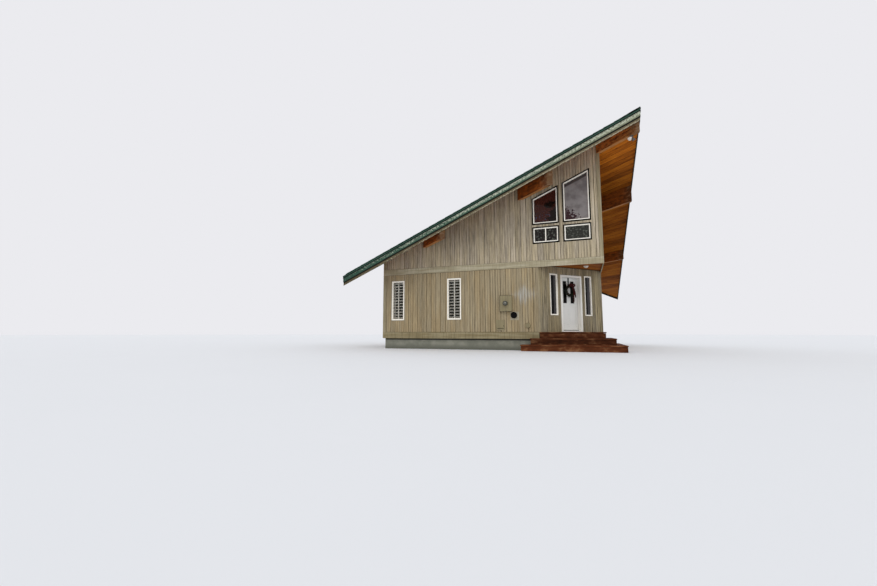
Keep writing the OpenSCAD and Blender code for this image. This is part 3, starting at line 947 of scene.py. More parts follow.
def smooth_line(points: np.ndarray, count: int) -> np.ndarray:
    """Runs a smooth curve through points.

    Between two points, each coordinate is a cubic with the slope of its neighbours' chord at both ends.

    Args:
        points: The points, of shape (n, 3).
        count: How many points the curve gets.

    Returns:
        The curve's points, of shape (count, 3).
    """
    padded = np.concatenate([2 * points[:1] - points[1:2], points, 2 * points[-1:] - points[-2:-1]])
    place = np.linspace(0, len(points) - 1 - 1e-9, count)
    i = place.astype(int)
    t = (place - i)[:, None]
    p0, p1, p2, p3 = (padded[i + k] for k in range(4))
    return 0.5 * (2 * p1 + (p2 - p0) * t + (2 * p0 - 5 * p1 + 4 * p2 - p3) * t ** 2
                  + (3 * p1 - p0 - 3 * p2 + p3) * t ** 3)


@dataclass
class Mesh:
    """Vertices and faces gathered for one piece."""

    points: list[np.ndarray] = field(default_factory=list)
    faces: list[np.ndarray] = field(default_factory=list)
    uvs: list[np.ndarray] = field(default_factory=list)
    tones: list[np.ndarray] = field(default_factory=list)
    count: int = 0

    def add(self, points: np.ndarray, faces: list[np.ndarray], uv: np.ndarray | None = None,
            tone: Reals = 0.5) -> "Mesh":
        """Adds vertices and their faces.

        Args:
            points: Vertices of shape (n, 3).
            faces: Arrays of vertex numbers, one array for each number of corners.
            uv: Surface coordinates of shape (n, 2).
            tone: The tone of each vertex, or one for all.

        Returns:
            This mesh.
        """
        self.points.append(points)
        self.faces += [array + self.count for array in faces]
        self.uvs.append(np.zeros((len(points), 2)) if uv is None else uv)
        self.tones.append(np.broadcast_to(tone, len(points)))
        self.count += len(points)
        return self

    def add_rings(self, rings: np.ndarray, closed: bool = False, uv: np.ndarray | None = None,
                  tone: Reals = 0.5) -> "Mesh":
        """Adds closed solids from rings of points.

        Each side face joins two neighbouring points on two neighbouring rings. The first and last rings
        are capped, or joined to each other.

        Args:
            rings: Points of shape (solids, rings, points, 3).
            closed: Whether the last ring joins the first one.
            uv: Surface coordinates of shape (solids, rings, points, 2).
            tone: The tone of each solid, or one for all.

        Returns:
            This mesh.
        """
        solids, count, points, _ = rings.shape
        index = np.arange(solids * count * points).reshape(solids, count, points)
        here = index if closed else index[:, :-1]
        there = np.roll(index, -1, 1) if closed else index[:, 1:]
        faces = [np.stack([here, np.roll(here, -1, 2), np.roll(there, -1, 2), there], -1).reshape(-1, 4)]
        if not closed:
            faces += [index[:, 0, ::-1], index[:, -1]]
        tones = np.repeat(np.broadcast_to(tone, solids), count * points)
        return self.add(rings.reshape(-1, 3), faces, None if uv is None else uv.reshape(-1, 2), tones)

    def piece(self, name: str, finish: Finish, slot: str, body: str = HOUSE, smooth: float | None = None,
              replaces: str | None = None) -> bpy.types.Object:
        """Makes the Blender object of this mesh.

        Args:
            name: The piece's name.
            finish: Its finish.
            slot: A material slot's name; not used.
            body: The body that it rides on.
            smooth: The angle in degrees under which edges are smooth, or none for flat faces.
            replaces: The CAD node that it stands for.

        Returns:
            The object.
        """
        mesh = bpy.data.meshes.new(name)
        faces = [row for array in self.faces for row in array.tolist()]
        mesh.from_pydata(np.concatenate(self.points), [], faces)
        loops = np.empty(len(mesh.loops), np.int32)
        mesh.loops.foreach_get("vertex_index", loops)
        layer = mesh.uv_layers.new(name="UVMap")
        layer.data.foreach_set("uv", np.concatenate(self.uvs)[loops].astype(np.float32).ravel())
        tone = mesh.attributes.new("tone", "FLOAT", "POINT")
        tone.data.foreach_set("value", np.concatenate(self.tones).astype(np.float32))
        work = bmesh.new()
        work.from_mesh(mesh)
        bmesh.ops.recalc_face_normals(work, faces=work.faces)
        work.to_mesh(mesh)
        work.free()
        if smooth is not None:
            mesh.shade_smooth()
            mesh.set_sharp_from_angle(angle=math.radians(smooth))
        mesh.materials.append(finish.material())
        made = put(name, mesh)
        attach(made, body)
        if replaces:
            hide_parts(replaces)
        LOG.info("%s: %d vertices, %d faces", name, len(mesh.vertices), len(mesh.polygons))
        return made


def dress(finish: Finish, *nodes: str) -> None:
    """Gives CAD nodes a finish through their material slots.

    Args:
        finish: The finish.
        nodes: The nodes' names.
    """
    for node in nodes:
        data = frame["nodes"][node].data
        if not data.materials:
            data.materials.append(None)
        for index in range(len(data.materials)):
            data.materials[index] = finish.material()
        LOG.info("%s dressed", node)


@dataclass(frozen=True)
class Face:
    """An outside wall face: where it starts, the way along it and the way out of it."""

    origin: tuple[float, float]
    along: tuple[float, float]
    out: tuple[float, float]

    def at(self, s: Reals, d: Reals, z: Reals) -> np.ndarray:
        """Gives points: origin + along * s + out * d, at height z.

        Args:
            s: Distances along the wall.
            d: Distances out of it.
            z: Heights.

        Returns:
            Points with a last axis of three.
        """
        s, d, z = np.broadcast_arrays(s, d, z)
        flat = np.array(self.origin) + s[..., None] * np.array(self.along) + d[..., None] * np.array(self.out)
        return np.concatenate([flat, z[..., None]], -1)

    def bars(self, *bars: tuple[float, ...]) -> np.ndarray:
        """Gives plain bars on the face.

        Args:
            bars: The left, right, foot, head, back and front of each.

        Returns:
            Rings for Mesh.add_rings, of shape (bars, 2, 4, 3).
        """
        left, right, foot, head, back, front = np.array(bars, float).T[..., None]
        s = np.concatenate([left, right, right, left], 1)
        d = np.concatenate([back, back, front, front], 1)
        return np.stack([self.at(s, d, foot), self.at(s, d, head)], 1)


# The plan as a face: its way along is X and its way out is Y
PLAN = Face((0.0, 0.0), (1.0, 0.0), (0.0, 1.0))


def entry_face(sizes: Sizes) -> Face:
    """Gives the outside face of the entry wall, measured from its middle."""
    return Face((0.0, sizes.entry_y), (1.0, 0.0), (0.0, -1.0))


class Side(Enum):
    """The four walls, with the signs of X and Y of their middles."""

    FRONT_LEFT = (-1, -1)
    FRONT_RIGHT = (1, -1)
    BACK_LEFT = (-1, 1)
    BACK_RIGHT = (1, 1)

    def face(self, sizes: Sizes) -> Face:
        """Gives the wall's outside face, starting at its prow."""
        sx, sy = self.value
        return Face((0.0, sy * sizes.half_diag), (sx / ROOT2, -sy / ROOT2), (sx / ROOT2, sy / ROOT2))

    @property
    def front(self) -> bool:
        """Whether the wall is beside the entry."""
        return self.value[1] < 0


@dataclass(frozen=True)
class Opening:
    """A window in a wall face, with upright sides."""

    left: float
    right: float
    sill: float
    head_left: float
    head_right: float

    @classmethod
    def level(cls, left: float, width: float, sill: float, height: float) -> "Opening":
        """Gives an opening with a level head."""
        return cls(left, left + width, sill, sill + height, sill + height)

    def head(self, s: float) -> float:
        """Height of the head at a distance along the wall."""
        share = (s - self.left) / (self.right - self.left)
        return self.head_left + share * (self.head_right - self.head_left)

    def inside(self, d: float) -> "Opening":
        """Moves the opening's edges inwards on all sides.

        Args:
            d: How far they move.

        Returns:
            The smaller opening.
        """
        left, right = self.left + d, self.right - d
        drop = d * math.hypot(1, (self.head_right - self.head_left) / (self.right - self.left))
        return Opening(left, right, self.sill + d, self.head(left) - drop, self.head(right) - drop)


@dataclass(frozen=True)
class Windows:
    """Sizes of the windows, and what stands behind their glass."""

    sizes: Sizes
    low_w: float = 0.570
    low_h: float = 1.622
    low_sill: float = 0.474
    low_places: tuple[float, float] = (0.657, 3.097)
    up_w: float = 0.940
    up_h: float = 0.612
    up_sill: float = 0.512
    up_start: float = 0.338
    up_gap: float = 0.151
    up_rail: float = 0.100
    up_drop: float = 0.795
    casing: float = 0.038
    frame: float = 0.047
    slim: float = 0.034
    side_w: float = 0.354
    side_h: float = 1.545
    side_sill: float = 0.611
    side_x: float = 0.849

    def low(self) -> list[Opening]:
        """Places the ground floor windows of a wall.

        Returns:
            Their openings.
        """
        foot = self.sizes.floor_z + self.low_sill
        lefts = [self.sizes.wall_len - place - self.low_w / 2 for place in self.low_places]
        return [Opening.level(left, self.low_w, foot, self.low_h) for left in lefts]

    def raked(self, left: float) -> Opening:
        """Places a window under the rake, with a head that follows the soffit.

        Args:
            left: Where it starts along the wall.

        Returns:
            Its opening.
        """
        foot = self.sizes.upper_z + self.up_sill + self.up_h + self.up_rail
        heads = [float(self.sizes.soffit(s / ROOT2)) - self.up_drop for s in (left, left + self.up_w)]
        return Opening(left, left + self.up_w, foot, *heads)

    def high(self) -> list[Opening]:
        """Places the upper windows of a wall, as far as the outside of their casings.

        Returns:
            The openings of the level ones, then of the raked ones above them.
        """
        lefts = [self.up_start, self.up_start + self.up_w + self.up_gap]
        foot = self.sizes.upper_z + self.up_sill
        level = [Opening.level(left, self.up_w, foot, self.up_h) for left in lefts]
        return level + [self.raked(left) for left in lefts]

    def sidelights(self) -> list[Opening]:
        """Places the two windows beside the entry door.

        Returns:
            Their openings, the left one first.
        """
        foot = self.sizes.floor_z + self.side_sill
        lefts = [x - self.side_w / 2 for x in (-self.side_x, self.side_x)]
        return [Opening.level(left, self.side_w, foot, self.side_h) for left in lefts]

    def shutters(self) -> None:
        """Builds the louvred shutters behind the ground floor windows.

        A louvre is an ellipse turned by its tilt and carried along the wall. A rod stands in front.
        """
        louvres, stiles = Mesh(), Mesh()
        pitch, chord, thick, tilt = 0.118, 0.066, 0.014, math.radians(31)
        depth, rim, rod, lap, spare = -0.086, 0.006, 0.020, 0.012, 0.020
        back, front = depth - 0.014, depth + 0.028
        angle = np.linspace(0, 2 * np.pi, 12, endpoint=False)
        a, b = chord / 2 * np.cos(angle), thick / 2 * np.sin(angle)
        out, up = a * math.cos(tilt) - b * math.sin(tilt), a * math.sin(tilt) + b * math.cos(tilt)
        for side in Side:
            face = side.face(self.sizes)
            for opening in self.low():
                hole = opening.inside(self.frame - lap)
                clear = hole.inside(rim)
                left, right, foot, head = hole.left, hole.right, hole.sill, hole.head_left
                start, stop, low, high = clear.left, clear.right, clear.sill, clear.head_left
                heights = np.arange(low + pitch / 2, high - spare, pitch)
                ends = np.array([start, stop])
                louvres.add_rings(face.at(ends[None, :, None], depth + out, heights[:, None, None] + up))
                middle = (left + right) / 2
                stiles.add_rings(face.bars(
                    (left, start, foot, head, back, front), (stop, right, foot, head, back, front),
                    (start, stop, foot, low, back, front), (start, stop, high, head, back, front),
                    (middle - rod, middle + rod, low, high, depth + 0.031, depth + 0.040)))
        louvres.piece("shutter_louvres", Vinyl(), "white_vinyl", smooth=50)
        stiles.piece("shutter_stiles", Vinyl(), "white_vinyl")

    def beads(self) -> None:
        """Builds the sloped glazing bead inside every window frame.

        Each bead is a triangle in section that runs round the inside of its frame.
        """
        mesh = Mesh()
        walls = [side.face(self.sizes) for side in Side]
        front, back = -0.010, -0.0278
        for faces, openings, margin, width in (
                (walls, self.low(), self.frame, 0.012),
                (walls, self.high(), self.casing + self.slim, 0.005),
                ([entry_face(self.sizes)], self.sidelights(), self.slim, 0.010)):
            for face, rim in ((face, opening.inside(margin)) for face in faces for opening in openings):
                rings = [face.at(np.array([o.left, o.right, o.right, o.left]), d,
                                 np.array([o.sill, o.sill, o.head_right, o.head_left]))
                         for o, d in ((rim, front), (rim.inside(width), back), (rim, back))]
                mesh.add_rings(np.stack(rings, 1)[None], closed=True)
        mesh.piece("glazing_beads", Vinyl(), "white_vinyl")

    def build(self) -> None:
        """Builds what belongs to the windows and dresses their nodes."""
        self.shutters()
        self.beads()
        dress(Vinyl(), "lower_window_frames", "upper_window_frames")
        dress(HallGlazing(side_x=self.side_x), "lower_window_glass")
        # The band is where the painted shade at the top of the raked blinds begins, a fall below their heads.
        raked, slope, fall = self.raked(self.up_start), self.sizes.slope, 0.25
        band = raked.head_left + slope * raked.left / ROOT2 - fall
        dress(RoomGlazing(rail=raked.sill, slope=slope, band=band), "upper_window_glass")
        dress(DarkMetal("060606", "161614", 0.7, 0.1), "upper_window_casings")


@dataclass(frozen=True)
class Strip:
    """One board on a face: its edges, the heights of its ends at both edges, its chamfers and its tone."""

    left: float
    right: float
    foot: tuple[float, float]
    head: tuple[float, float]
    chamfer: tuple[float, float]
    tone: float


@dataclass(frozen=True)
class Siding:
    """Upright grooved siding on all walls, whose grooves and gaps show the walls behind, painted dark as
    shade.
    """

    sizes: Sizes
    windows: Windows
    pitch: float = 0.200
    groove: float = 0.013
    kerf: float = 0.005
    thick: float = 0.010
    bevel: float = 0.003
    gap: float = 0.009
    narrow: float = 0.004
    sliver: float = 0.002
    short: float = 0.010
    ceiling_gap: float = 0.030

    def strips(self, left: float, right: float, openings: list[Opening], foot: Height, head: Height,
               rng: np.random.Generator) -> list[Strip]:
        """Cuts the boards of a face round its openings.

        A saw kerf splits each board in two halves, and grooves and kerfs have opened by unlike widths.

        Args:
            left: Where the siding starts.
            right: Where it ends.
            openings: What it leaves free.
            foot: Height of its foot at a distance along the wall.
            head: Height of its head at a distance along the wall.
            rng: Source of the boards' tones.

        Returns:
            The boards.
        """
        made = []
        openings = [o.inside(-self.gap) for o in openings]
        for number in range(math.floor(left / self.pitch), math.ceil(right / self.pitch)):
            tone = float(np.clip(0.5 + 0.14 * rng.standard_normal(), 0.05, 0.95))
            start, stop = number * self.pitch, (number + 1) * self.pitch
            middle = start + self.pitch / 2
            groove, kerf = self.groove * rng.uniform(0.5, 1.3), self.kerf * rng.uniform(0.2, 1.6)
            for a, b in ((start + groove / 2, middle - kerf / 2), (middle + kerf / 2, stop - groove / 2)):
                a, b = max(a, left), min(b, right)
                if b - a < self.narrow:
                    continue
                cuts = sorted({a, b} | {s for o in openings for s in (o.left, o.right) if a < s < b})
                for p, q in zip(cuts, cuts[1:]):
                    if q - p < self.sliver:
                        continue
                    chamfer = (self.bevel if p == a else 0.0, self.bevel if q == b else 0.0)
                    made += self.column(p, q, openings, foot, head, chamfer, tone + rng.uniform(-0.05, 0.05))
        return made

    def column(self, p: float, q: float, openings: list[Opening], foot: Height, head: Height,
               chamfer: tuple[float, float], tone: float) -> list[Strip]:
        """Splits one board into what is left above and below the openings.

        Args:
            p: Its left edge.
            q: Its right edge.
            openings: The openings of the wall.
            foot: Height of the siding's foot at a distance along the wall.
            head: Height of its head at a distance along the wall.
            chamfer: The chamfers of the board's two edges.
            tone: Its tone.

        Returns:
            What is left of it, from the lowest up.
        """
        crossed = sorted((o for o in openings if o.left < (p + q) / 2 < o.right), key=lambda o: o.sill)
        feet = [(foot(p), foot(q))] + [(o.head(p), o.head(q)) for o in crossed]
        heads = [(o.sill, o.sill) for o in crossed] + [(head(p), head(q))]
        return [Strip(p, q, low, high, chamfer, tone) for low, high in zip(feet, heads)
                if max(high[0] - low[0], high[1] - low[1]) > self.short]

    def nail(self, face: Face, strips: list[Strip], tilt: float = 0.0) -> Mesh:
        """Makes the boards of a face.

        A board's section has six points with its two front edges cut off, and its ends follow the
        slanting lines of the wall. The slope of the soffit lowers the head as the board comes out.

        Args:
            face: The wall face.
            strips: The boards.
            tilt: How far the head drops for each metre out of the wall.

        Returns:
            Their mesh.
        """
        p, q = (np.array([getattr(s, key) for s in strips]) for key in ("left", "right"))
        c0, c1 = np.array([s.chamfer for s in strips]).T
        level = self.thick - self.bevel
        along = np.stack([p, p, p + c0, q - c1, q, q], 1)
        out = np.broadcast_to([0.0, level, self.thick, self.thick, level, 0.0], along.shape)
        share = (along - p[:, None]) / (q - p)[:, None]
        ends = []
        for key, drop in (("foot", 0.0), ("head", tilt)):
            low, high = np.array([getattr(s, key) for s in strips]).T
            ends.append(low[:, None] + share * (high - low)[:, None] - drop * out)
        uv = np.stack([np.stack([along, z], -1) for z in ends], 1)
        return Mesh().add_rings(np.stack([face.at(along, out, z) for z in ends], 1), uv=uv,
                                tone=np.array([s.tone for s in strips]))

    def build(self) -> None:
        """Builds the siding of every wall and dresses the walls behind it in a dark colour of painted shade.
        """
        z = self.sizes
        rng = np.random.default_rng(28)
        end = z.wall_len - z.corner_w
        for side in Side:
            face = side.face(z)
            name = side.name.lower()
            low = self.strips(z.entry_s if side.front else z.corner_w, end, self.windows.low(),
                              lambda s: z.base_top + self.gap, lambda s: z.band_foot - self.gap, rng)
            high = self.strips(z.corner_w, end, self.windows.high(), lambda s: z.band_top + self.gap,
                               lambda s: float(z.soffit(s / ROOT2)), rng)
            patch = (2.7, 2.05, 0.45, 0.42) if side is Side.FRONT_LEFT else StainedSiding.bleached
            self.nail(face, low).piece(f"siding_lower_{name}", StainedSiding(bleached=patch), "siding")
            # The upper boards' paler colours are partly their own tone and partly painted light that lifts
            # the shade under the eaves.
            self.nail(face, high, z.slope / ROOT2).piece(
                f"siding_upper_{name}", StainedSiding("afa186", "ab9f8b", 1.6), "siding")
        low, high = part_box("door_frame")
        doorway = Opening(low.x, high.x, 0.0, high.z, high.z)
        head = z.soffit_z - self.ceiling_gap
        entry = self.strips(-z.porch_half, z.porch_half, [doorway, *self.windows.sidelights()],
                            lambda s: z.porch_z, lambda s: head, rng)
        self.nail(entry_face(z), entry).piece(
            "siding_entry", StainedSiding("918468", "8d836e", 1.9), "siding")
        walls = [node for node in frame["nodes"] if "wall" in node and node != "wall_vents"]
        # Painted shade: the walls behind the boards are dark, so grooves, kerfs and gaps round openings,
        # bands and the porch ceiling read as shadow lines.
        dress(PlainMatt("4a402c", "3a3223", shine=0.05), *walls)


@dataclass(frozen=True)
class Roof:
    """Roof coverings, soffit lining, fascias and beams."""

    sizes: Sizes
    board: float = 0.143
    joint: float = 0.009
    lining: float = 0.008
    tongue: float = 0.004
    bevel: float = 0.005
    longest: float = 2.200
    narrow: float = 0.020
    rib_pitch: float = 0.229
    rib_h: float = 0.024
    screw_pitch: float = 0.610
    first_screw: float = 0.350
    rim: float = 0.120

    def soffit_boards(self) -> None:
        """Lines the soffits outside the walls with boards parallel to the ridge.

        A board between x0 and x1 runs from the wall line |y| = R - |x| to the fascia line |y| = F - |x|.
        Past the walls' corners it crosses from one fascia to the other.
        """
        z = self.sizes
        rng = np.random.default_rng(7)
        for sign, name in HANDS:
            mesh = Mesh()
            x = z.beam_w / 2
            while x < z.tip - self.narrow:
                stop = min(x + self.board, z.tip)
                for way in (1,) if x >= z.half_diag else (-1, 1):
                    self.line(mesh, rng, sign, way, x + self.joint / 2, stop - self.joint / 2)
                x = stop
            mesh.piece(f"soffit_boards_{name}", StainedCedar(), "soffit_timber")

    def line(self, mesh: Mesh, rng: np.random.Generator, sign: int, way: int, x0: float, x1: float) -> None:
        """Adds one line of lining boards, with a butt joint where it is long.

        Its section has six points, cut off at the two lower edges, and follows the slope of the soffit.

        Args:
            mesh: Where the boards go.
            rng: Source of the joints and tones.
            sign: The side of the ridge.
            way: The end of the cabin.
            x0: The edge near the ridge.
            x1: The other edge.
        """
        z = self.sizes
        x = np.array([x0, x0, x0 + self.bevel, x1 - self.bevel, x1, x1])
        level = self.lining - self.bevel
        drop = np.array([-self.tongue, level, self.lining, self.lining, level, -self.tongue])
        far = z.tip - x
        near = np.maximum(z.half_diag - x, 0.0) if x0 < z.half_diag else -far
        cuts = [0.0, 1.0]
        if float((far - near).min()) > self.longest:
            cuts.insert(1, float(rng.uniform(0.3, 0.7)))
        gap, apart = 0.001, sign * 50
        for a, b in zip(cuts, cuts[1:]):
            ends = [near + (far - near) * a + (gap if a else 0.0)]
            ends.append(near + (far - near) * b - (gap if b < 1 else 0.0))
            rings = joined(*((sign * x, way * y, z.soffit(x) - drop) for y in ends))
            uv = joined(*((y.mean() + apart, x) for y in ends))
            mesh.add_rings(rings, uv=uv, tone=float(rng.uniform(0.1, 0.9)))

    def porch_ceiling(self) -> None:
        """Lines the ceiling of the porch with boards parallel to the entry wall."""
        z = self.sizes
        gap, shortest, tuck = 0.014, 0.01, 0.002
        mesh = Mesh()
        rng = np.random.default_rng(11)
        for start in np.arange(z.entry_y - gap, -z.half_diag, -self.board):
            y = np.array([start - self.joint / 2, max(start - self.board, -z.half_diag) + self.joint / 2])
            if (y + z.half_diag).min() < shortest:
                continue
            ys = np.repeat(y, 2)
            zs = z.soffit_z + np.array([tuck, -self.lining, -self.lining, tuck])
            rings = joined(*((sign * (ys + z.half_diag), ys, zs) for sign in (-1, 1)))
            mesh.add_rings(rings, uv=rings[..., :2], tone=float(rng.uniform(0.2, 0.8)))
        mesh.piece("porch_ceiling_boards", StainedCedar(), "soffit_timber")

    def screws(self) -> None:
        """Sets rows of hexagonal screws with washers beside the ribs.

        Rows follow the slope at equal steps from the ridge, and a screw stands square to the sheet.
        """
        z = self.sizes
        angle = math.atan(z.slope)
        rows = np.arange(self.first_screw, z.roof_r / math.cos(angle), self.screw_pitch) * math.cos(angle)
        count = int(z.roof_r / self.rib_pitch)
        x, y = (grid.ravel() for grid in np.meshgrid(rows, np.arange(-count, count + 1) * self.rib_pitch))
        keep = x + np.abs(y) < z.roof_r - self.rim
        x, y = x[keep], y[keep]
        turn = np.linspace(0, 2 * np.pi, 6, endpoint=False)[:, None]
        profile = ((0.0085, 0.0), (0.0085, 0.002), (0.0050, 0.0025), (0.0050, 0.008))
        sheet = self.rib_h / math.cos(angle)
        for sign, name in HANDS:
            down = np.array([sign * math.cos(angle), 0, -math.sin(angle)])
            out = np.array([sign * math.sin(angle), 0, math.cos(angle)])
            foot = np.stack([sign * x, y, z.ridge_z - sheet - z.slope * x], -1)
            disc = np.cos(turn) * down + np.sin(turn) * np.array([0.0, 1.0, 0.0])
            rings = np.stack([foot[:, None] + radius * disc + rise * out for radius, rise in profile], 1)
            Mesh().add_rings(rings).piece(f"roof_screws_{name}", DarkMetal("24453a", "6d7a72"), "roof_metal")

    def build(self) -> None:
        """Builds the linings and screws, and dresses the roof's nodes."""
        z = self.sizes
        self.soffit_boards()
        self.porch_ceiling()
        self.screws()
        dress(CoatedSteel(z), "roof_metal_left", "roof_metal_right", "ridge_cap", "rake_edge")
        # The fascia's foot and the sub-fascia's top carry dashed lines of painted shade.
        dress(RakeBoard(z, 0.305, 0.2), *(node for node in frame["nodes"] if node.startswith("fascia_")))
        dress(RakeBoard(z, 0.445, 0.14, ("564c36", "62573f", "665c44"), "b0a78f", (0.14, 0.24), False),
              "sub_fascia")
        dress(LaminatedBeam(z.tip, "bd7a3a", "54290f"), "ridge_beam")
        dress(LaminatedBeam(z.tip), "upper_purlins", "lower_purlins")
        # Painted shade: the decks and the porch's soffit are dark, so the joints of the lining in front of
        # them read as shadow lines.
        dress(PlainMatt("3a2112", "2a170c"), "roof_deck_left", "roof_deck_right", "entry_soffit")


@dataclass(frozen=True)
class Porch:
    """Platform and two steps of boards, mitred under the prow."""

    sizes: Sizes
    going: float = 0.300
    rise: float = 0.222
    plank: float = 0.040
    nosing: float = 0.016
    gap: float = 0.006
    trim: float = 0.0245
    riser: float = 0.024
    riser_h: float = 0.160
    seam: float = 0.005
    bevel: float = 0.003
    inset: float = 0.030
    mitre: float = 0.001
    heart: float = 0.012
    slack: float = 0.002
    lid: float = 0.004
    deck_boards: int = 7
    step_boards: int = 2

    def tread(self, mesh: Mesh, side: Side, low: float, high: float, stop: Height, head: float, tone: float,
              start: float | None = None) -> None:
        """Adds one board along a front wall, from the mitre at s = -d or from a given start to its stop.

        Args:
            mesh: Where it goes.
            side: The wall that the board is parallel to.
            low: Distance of its inner edge from the wall face.
            high: Distance of its outer edge.
            stop: Where the board ends at a distance from the wall.
            head: Height of its top.
            tone: Its tone.
            start: Where it starts, if not at the mitre.
        """
        face = side.face(self.sizes)
        foot = head - self.plank
        bevel = min(0.004, (head - foot) / 4, (high - low) / 4)
        d = np.array([low, low, low + bevel, high - bevel, high, high])
        z = np.array([foot, head - bevel, head, head, head - bevel, foot])
        ends = (self.mitre - d if start is None else start, np.array([stop(v) for v in d]))
        around = np.cumsum(np.hypot(np.diff(d, prepend=d[0]), np.diff(z, prepend=z[0]))) + low * 7
        mesh.add_rings(np.stack([face.at(s, d, z) for s in ends])[None],
                       uv=joined(*((s, around) for s in ends)), tone=tone)

    def risers(self, mesh: Mesh, side: Side, tier: int, stop: Height, rng: np.random.Generator) -> None:
        """Adds the riser boards of a tier, on its front and its end, and the dark carcass behind them.

        Args:
            mesh: Where they go.
            side: The wall that the tier is parallel to.
            tier: The tier's number, from the top.
            stop: Where the boards end at a distance from the wall.
            rng: Source of the tones.
        """
        face = side.face(self.sizes)
        half = self.sizes.entry_s / 2
        outer = tier * self.going - self.nosing
        end = self.sizes.entry_s + outer
        head = (3 - tier) * self.rise - self.plank
        rows = max(1, round(head / self.riser_h))
        height = head / rows
        depth = np.array([-self.riser, -self.riser, -self.bevel, 0.0, 0.0, -self.bevel])
        for row in range(rows):
            foot = row * height
            top = foot + height - self.seam
            z = np.array([foot, top, top, top - self.bevel, foot + self.bevel, foot])
            d, s = outer + depth, end + depth
            ends = (self.mitre / 2 - d, np.array([stop(v) for v in d]))
            mesh.add_rings(np.stack([face.at(v, d, z) for v in ends])[None],
                           uv=joined(*((v, z + d) for v in ends)), tone=rng.uniform(0.1, 0.7))
            if tier:
                span = (self.trim, outer - self.riser - self.slack)
                mesh.add_rings(np.stack([face.at(s, v, z) for v in span])[None],
                               uv=joined(*((v, z + s) for v in span)), tone=rng.uniform(0.1, 0.7))
        behind = 0.02
        back = max(outer - self.going - behind, behind - half) if tier else behind - half
        d = np.array([back, outer - self.inset, outer - self.inset, back])
        s = np.array([-d[0], -d[1], stop(d[2]) - self.inset, stop(d[3]) - self.inset])
        mesh.add_rings(np.stack([face.at(s, d, v) for v in (0.0, head - self.lid)])[None], tone=0.0)

    def build(self) -> None:
        """Builds all the boards of the platform and steps."""
        z = self.sizes
        rng = np.random.default_rng(3)
        for tier, node in enumerate(("porch_platform", "middle_step", "bottom_step")):
            mesh = Mesh()
            head = (3 - tier) * self.rise
            reach = tier * self.going
            ending = z.entry_s + reach
            boards, depth = (self.step_boards, self.going) if tier else (self.deck_boards, z.entry_s / 2)
            stop = (lambda d: ending) if tier else (lambda d: z.entry_s + d - self.mitre)
            riser_stop = (lambda d: ending - self.nosing) if tier else stop
            for side in (Side.FRONT_LEFT, Side.FRONT_RIGHT):
                for i in range(boards):
                    high = reach - i * depth / boards
                    low = max(high - depth / boards + self.gap, self.heart - depth)
                    self.tread(mesh, side, low, high, stop, head, rng.uniform(0.2, 0.8))
                if tier == 2:
                    for low, high in ((self.trim + 0.004, 0.160), (0.166, self.going - self.gap)):
                        self.tread(mesh, side, low, high, stop, head, rng.uniform(0.2, 0.8),
                                   ending - self.going + self.gap)
                self.risers(mesh, side, tier, riser_stop, rng)
            mesh.piece(f"{node}_boards", StepTimber(), "step_timber", replaces=node)


@dataclass(frozen=True)
class Entry:
    """The door's lock, sweep and sill, and the finishes of the door and its frame."""

    sizes: Sizes
    lock_rise: float = 0.14
    sill_lift: float = 0.035
    sill_back: float = 0.012
    sill_front: float = 0.110

    def lock(self) -> None:
        """Builds the round lock above the knob as a turned rose."""
        low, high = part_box("door_knob")
        height = (low.z + high.z) / 2 + self.lock_rise
        centre = np.array([(low.x + high.x) / 2, edge("entry_door", 0, 1), height])
        rose = [(0.001, 0.0), (0.026, 0.0), (0.026, 0.006), (0.020, 0.012), (0.012, 0.013), (0.001, 0.013)]
        Mesh().add_rings(lathe(rose, centre, np.array([0, -1.0, 0]), 28)).piece(
            "door_lock", DarkMetal("6d6a64", "9a968e", 0.3, metallic=0.9), "hardware", DOOR, 30)

    def sill(self) -> None:
        """Builds the ribbed sill plate in front of the door and the sweep at the door's foot."""
        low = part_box("door_frame")[0]
        level, thick, half, seam = self.sizes.floor_z + self.sill_lift, 0.004, 0.455, 0.003
        edges = np.linspace(low.y + self.sill_back, low.y + self.sill_front, 6)
        ribs = [(-half, half, level, level + thick, a + seam, b - seam) for a, b in zip(edges, edges[1:])]
        Mesh().add_rings(PLAN.bars(*ribs)).piece("door_sill_ribs", Vinyl(), "hardware")
        low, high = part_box("entry_door")
        inset, foot, sweep = 0.010, low.z + 0.002, 0.025
        bar = (low.x + inset, high.x - inset, foot, foot + sweep, low.y - 0.006, low.y)
        Mesh().add_rings(PLAN.bars(bar)).piece(
            "door_sweep", DarkMetal("2a2b2e", "3c3d40", 0.6), "hardware", DOOR)

    def build(self) -> None:
        """Builds the door's small parts and dresses its nodes."""
        self.lock()
        self.sill()
        dress(DoorEnamel(), "entry_door")
        dress(Vinyl("efece4"), "door_frame")
        dress(Glazing("060403", "120b08", 0.99, 0.06), "door_lights")
        steel = DarkMetal("8d8a84", "5e5b55", 0.32, metallic=0.9)
        dress(steel, "door_knob", "door_hinge_leaves", "frame_hinge_leaves")


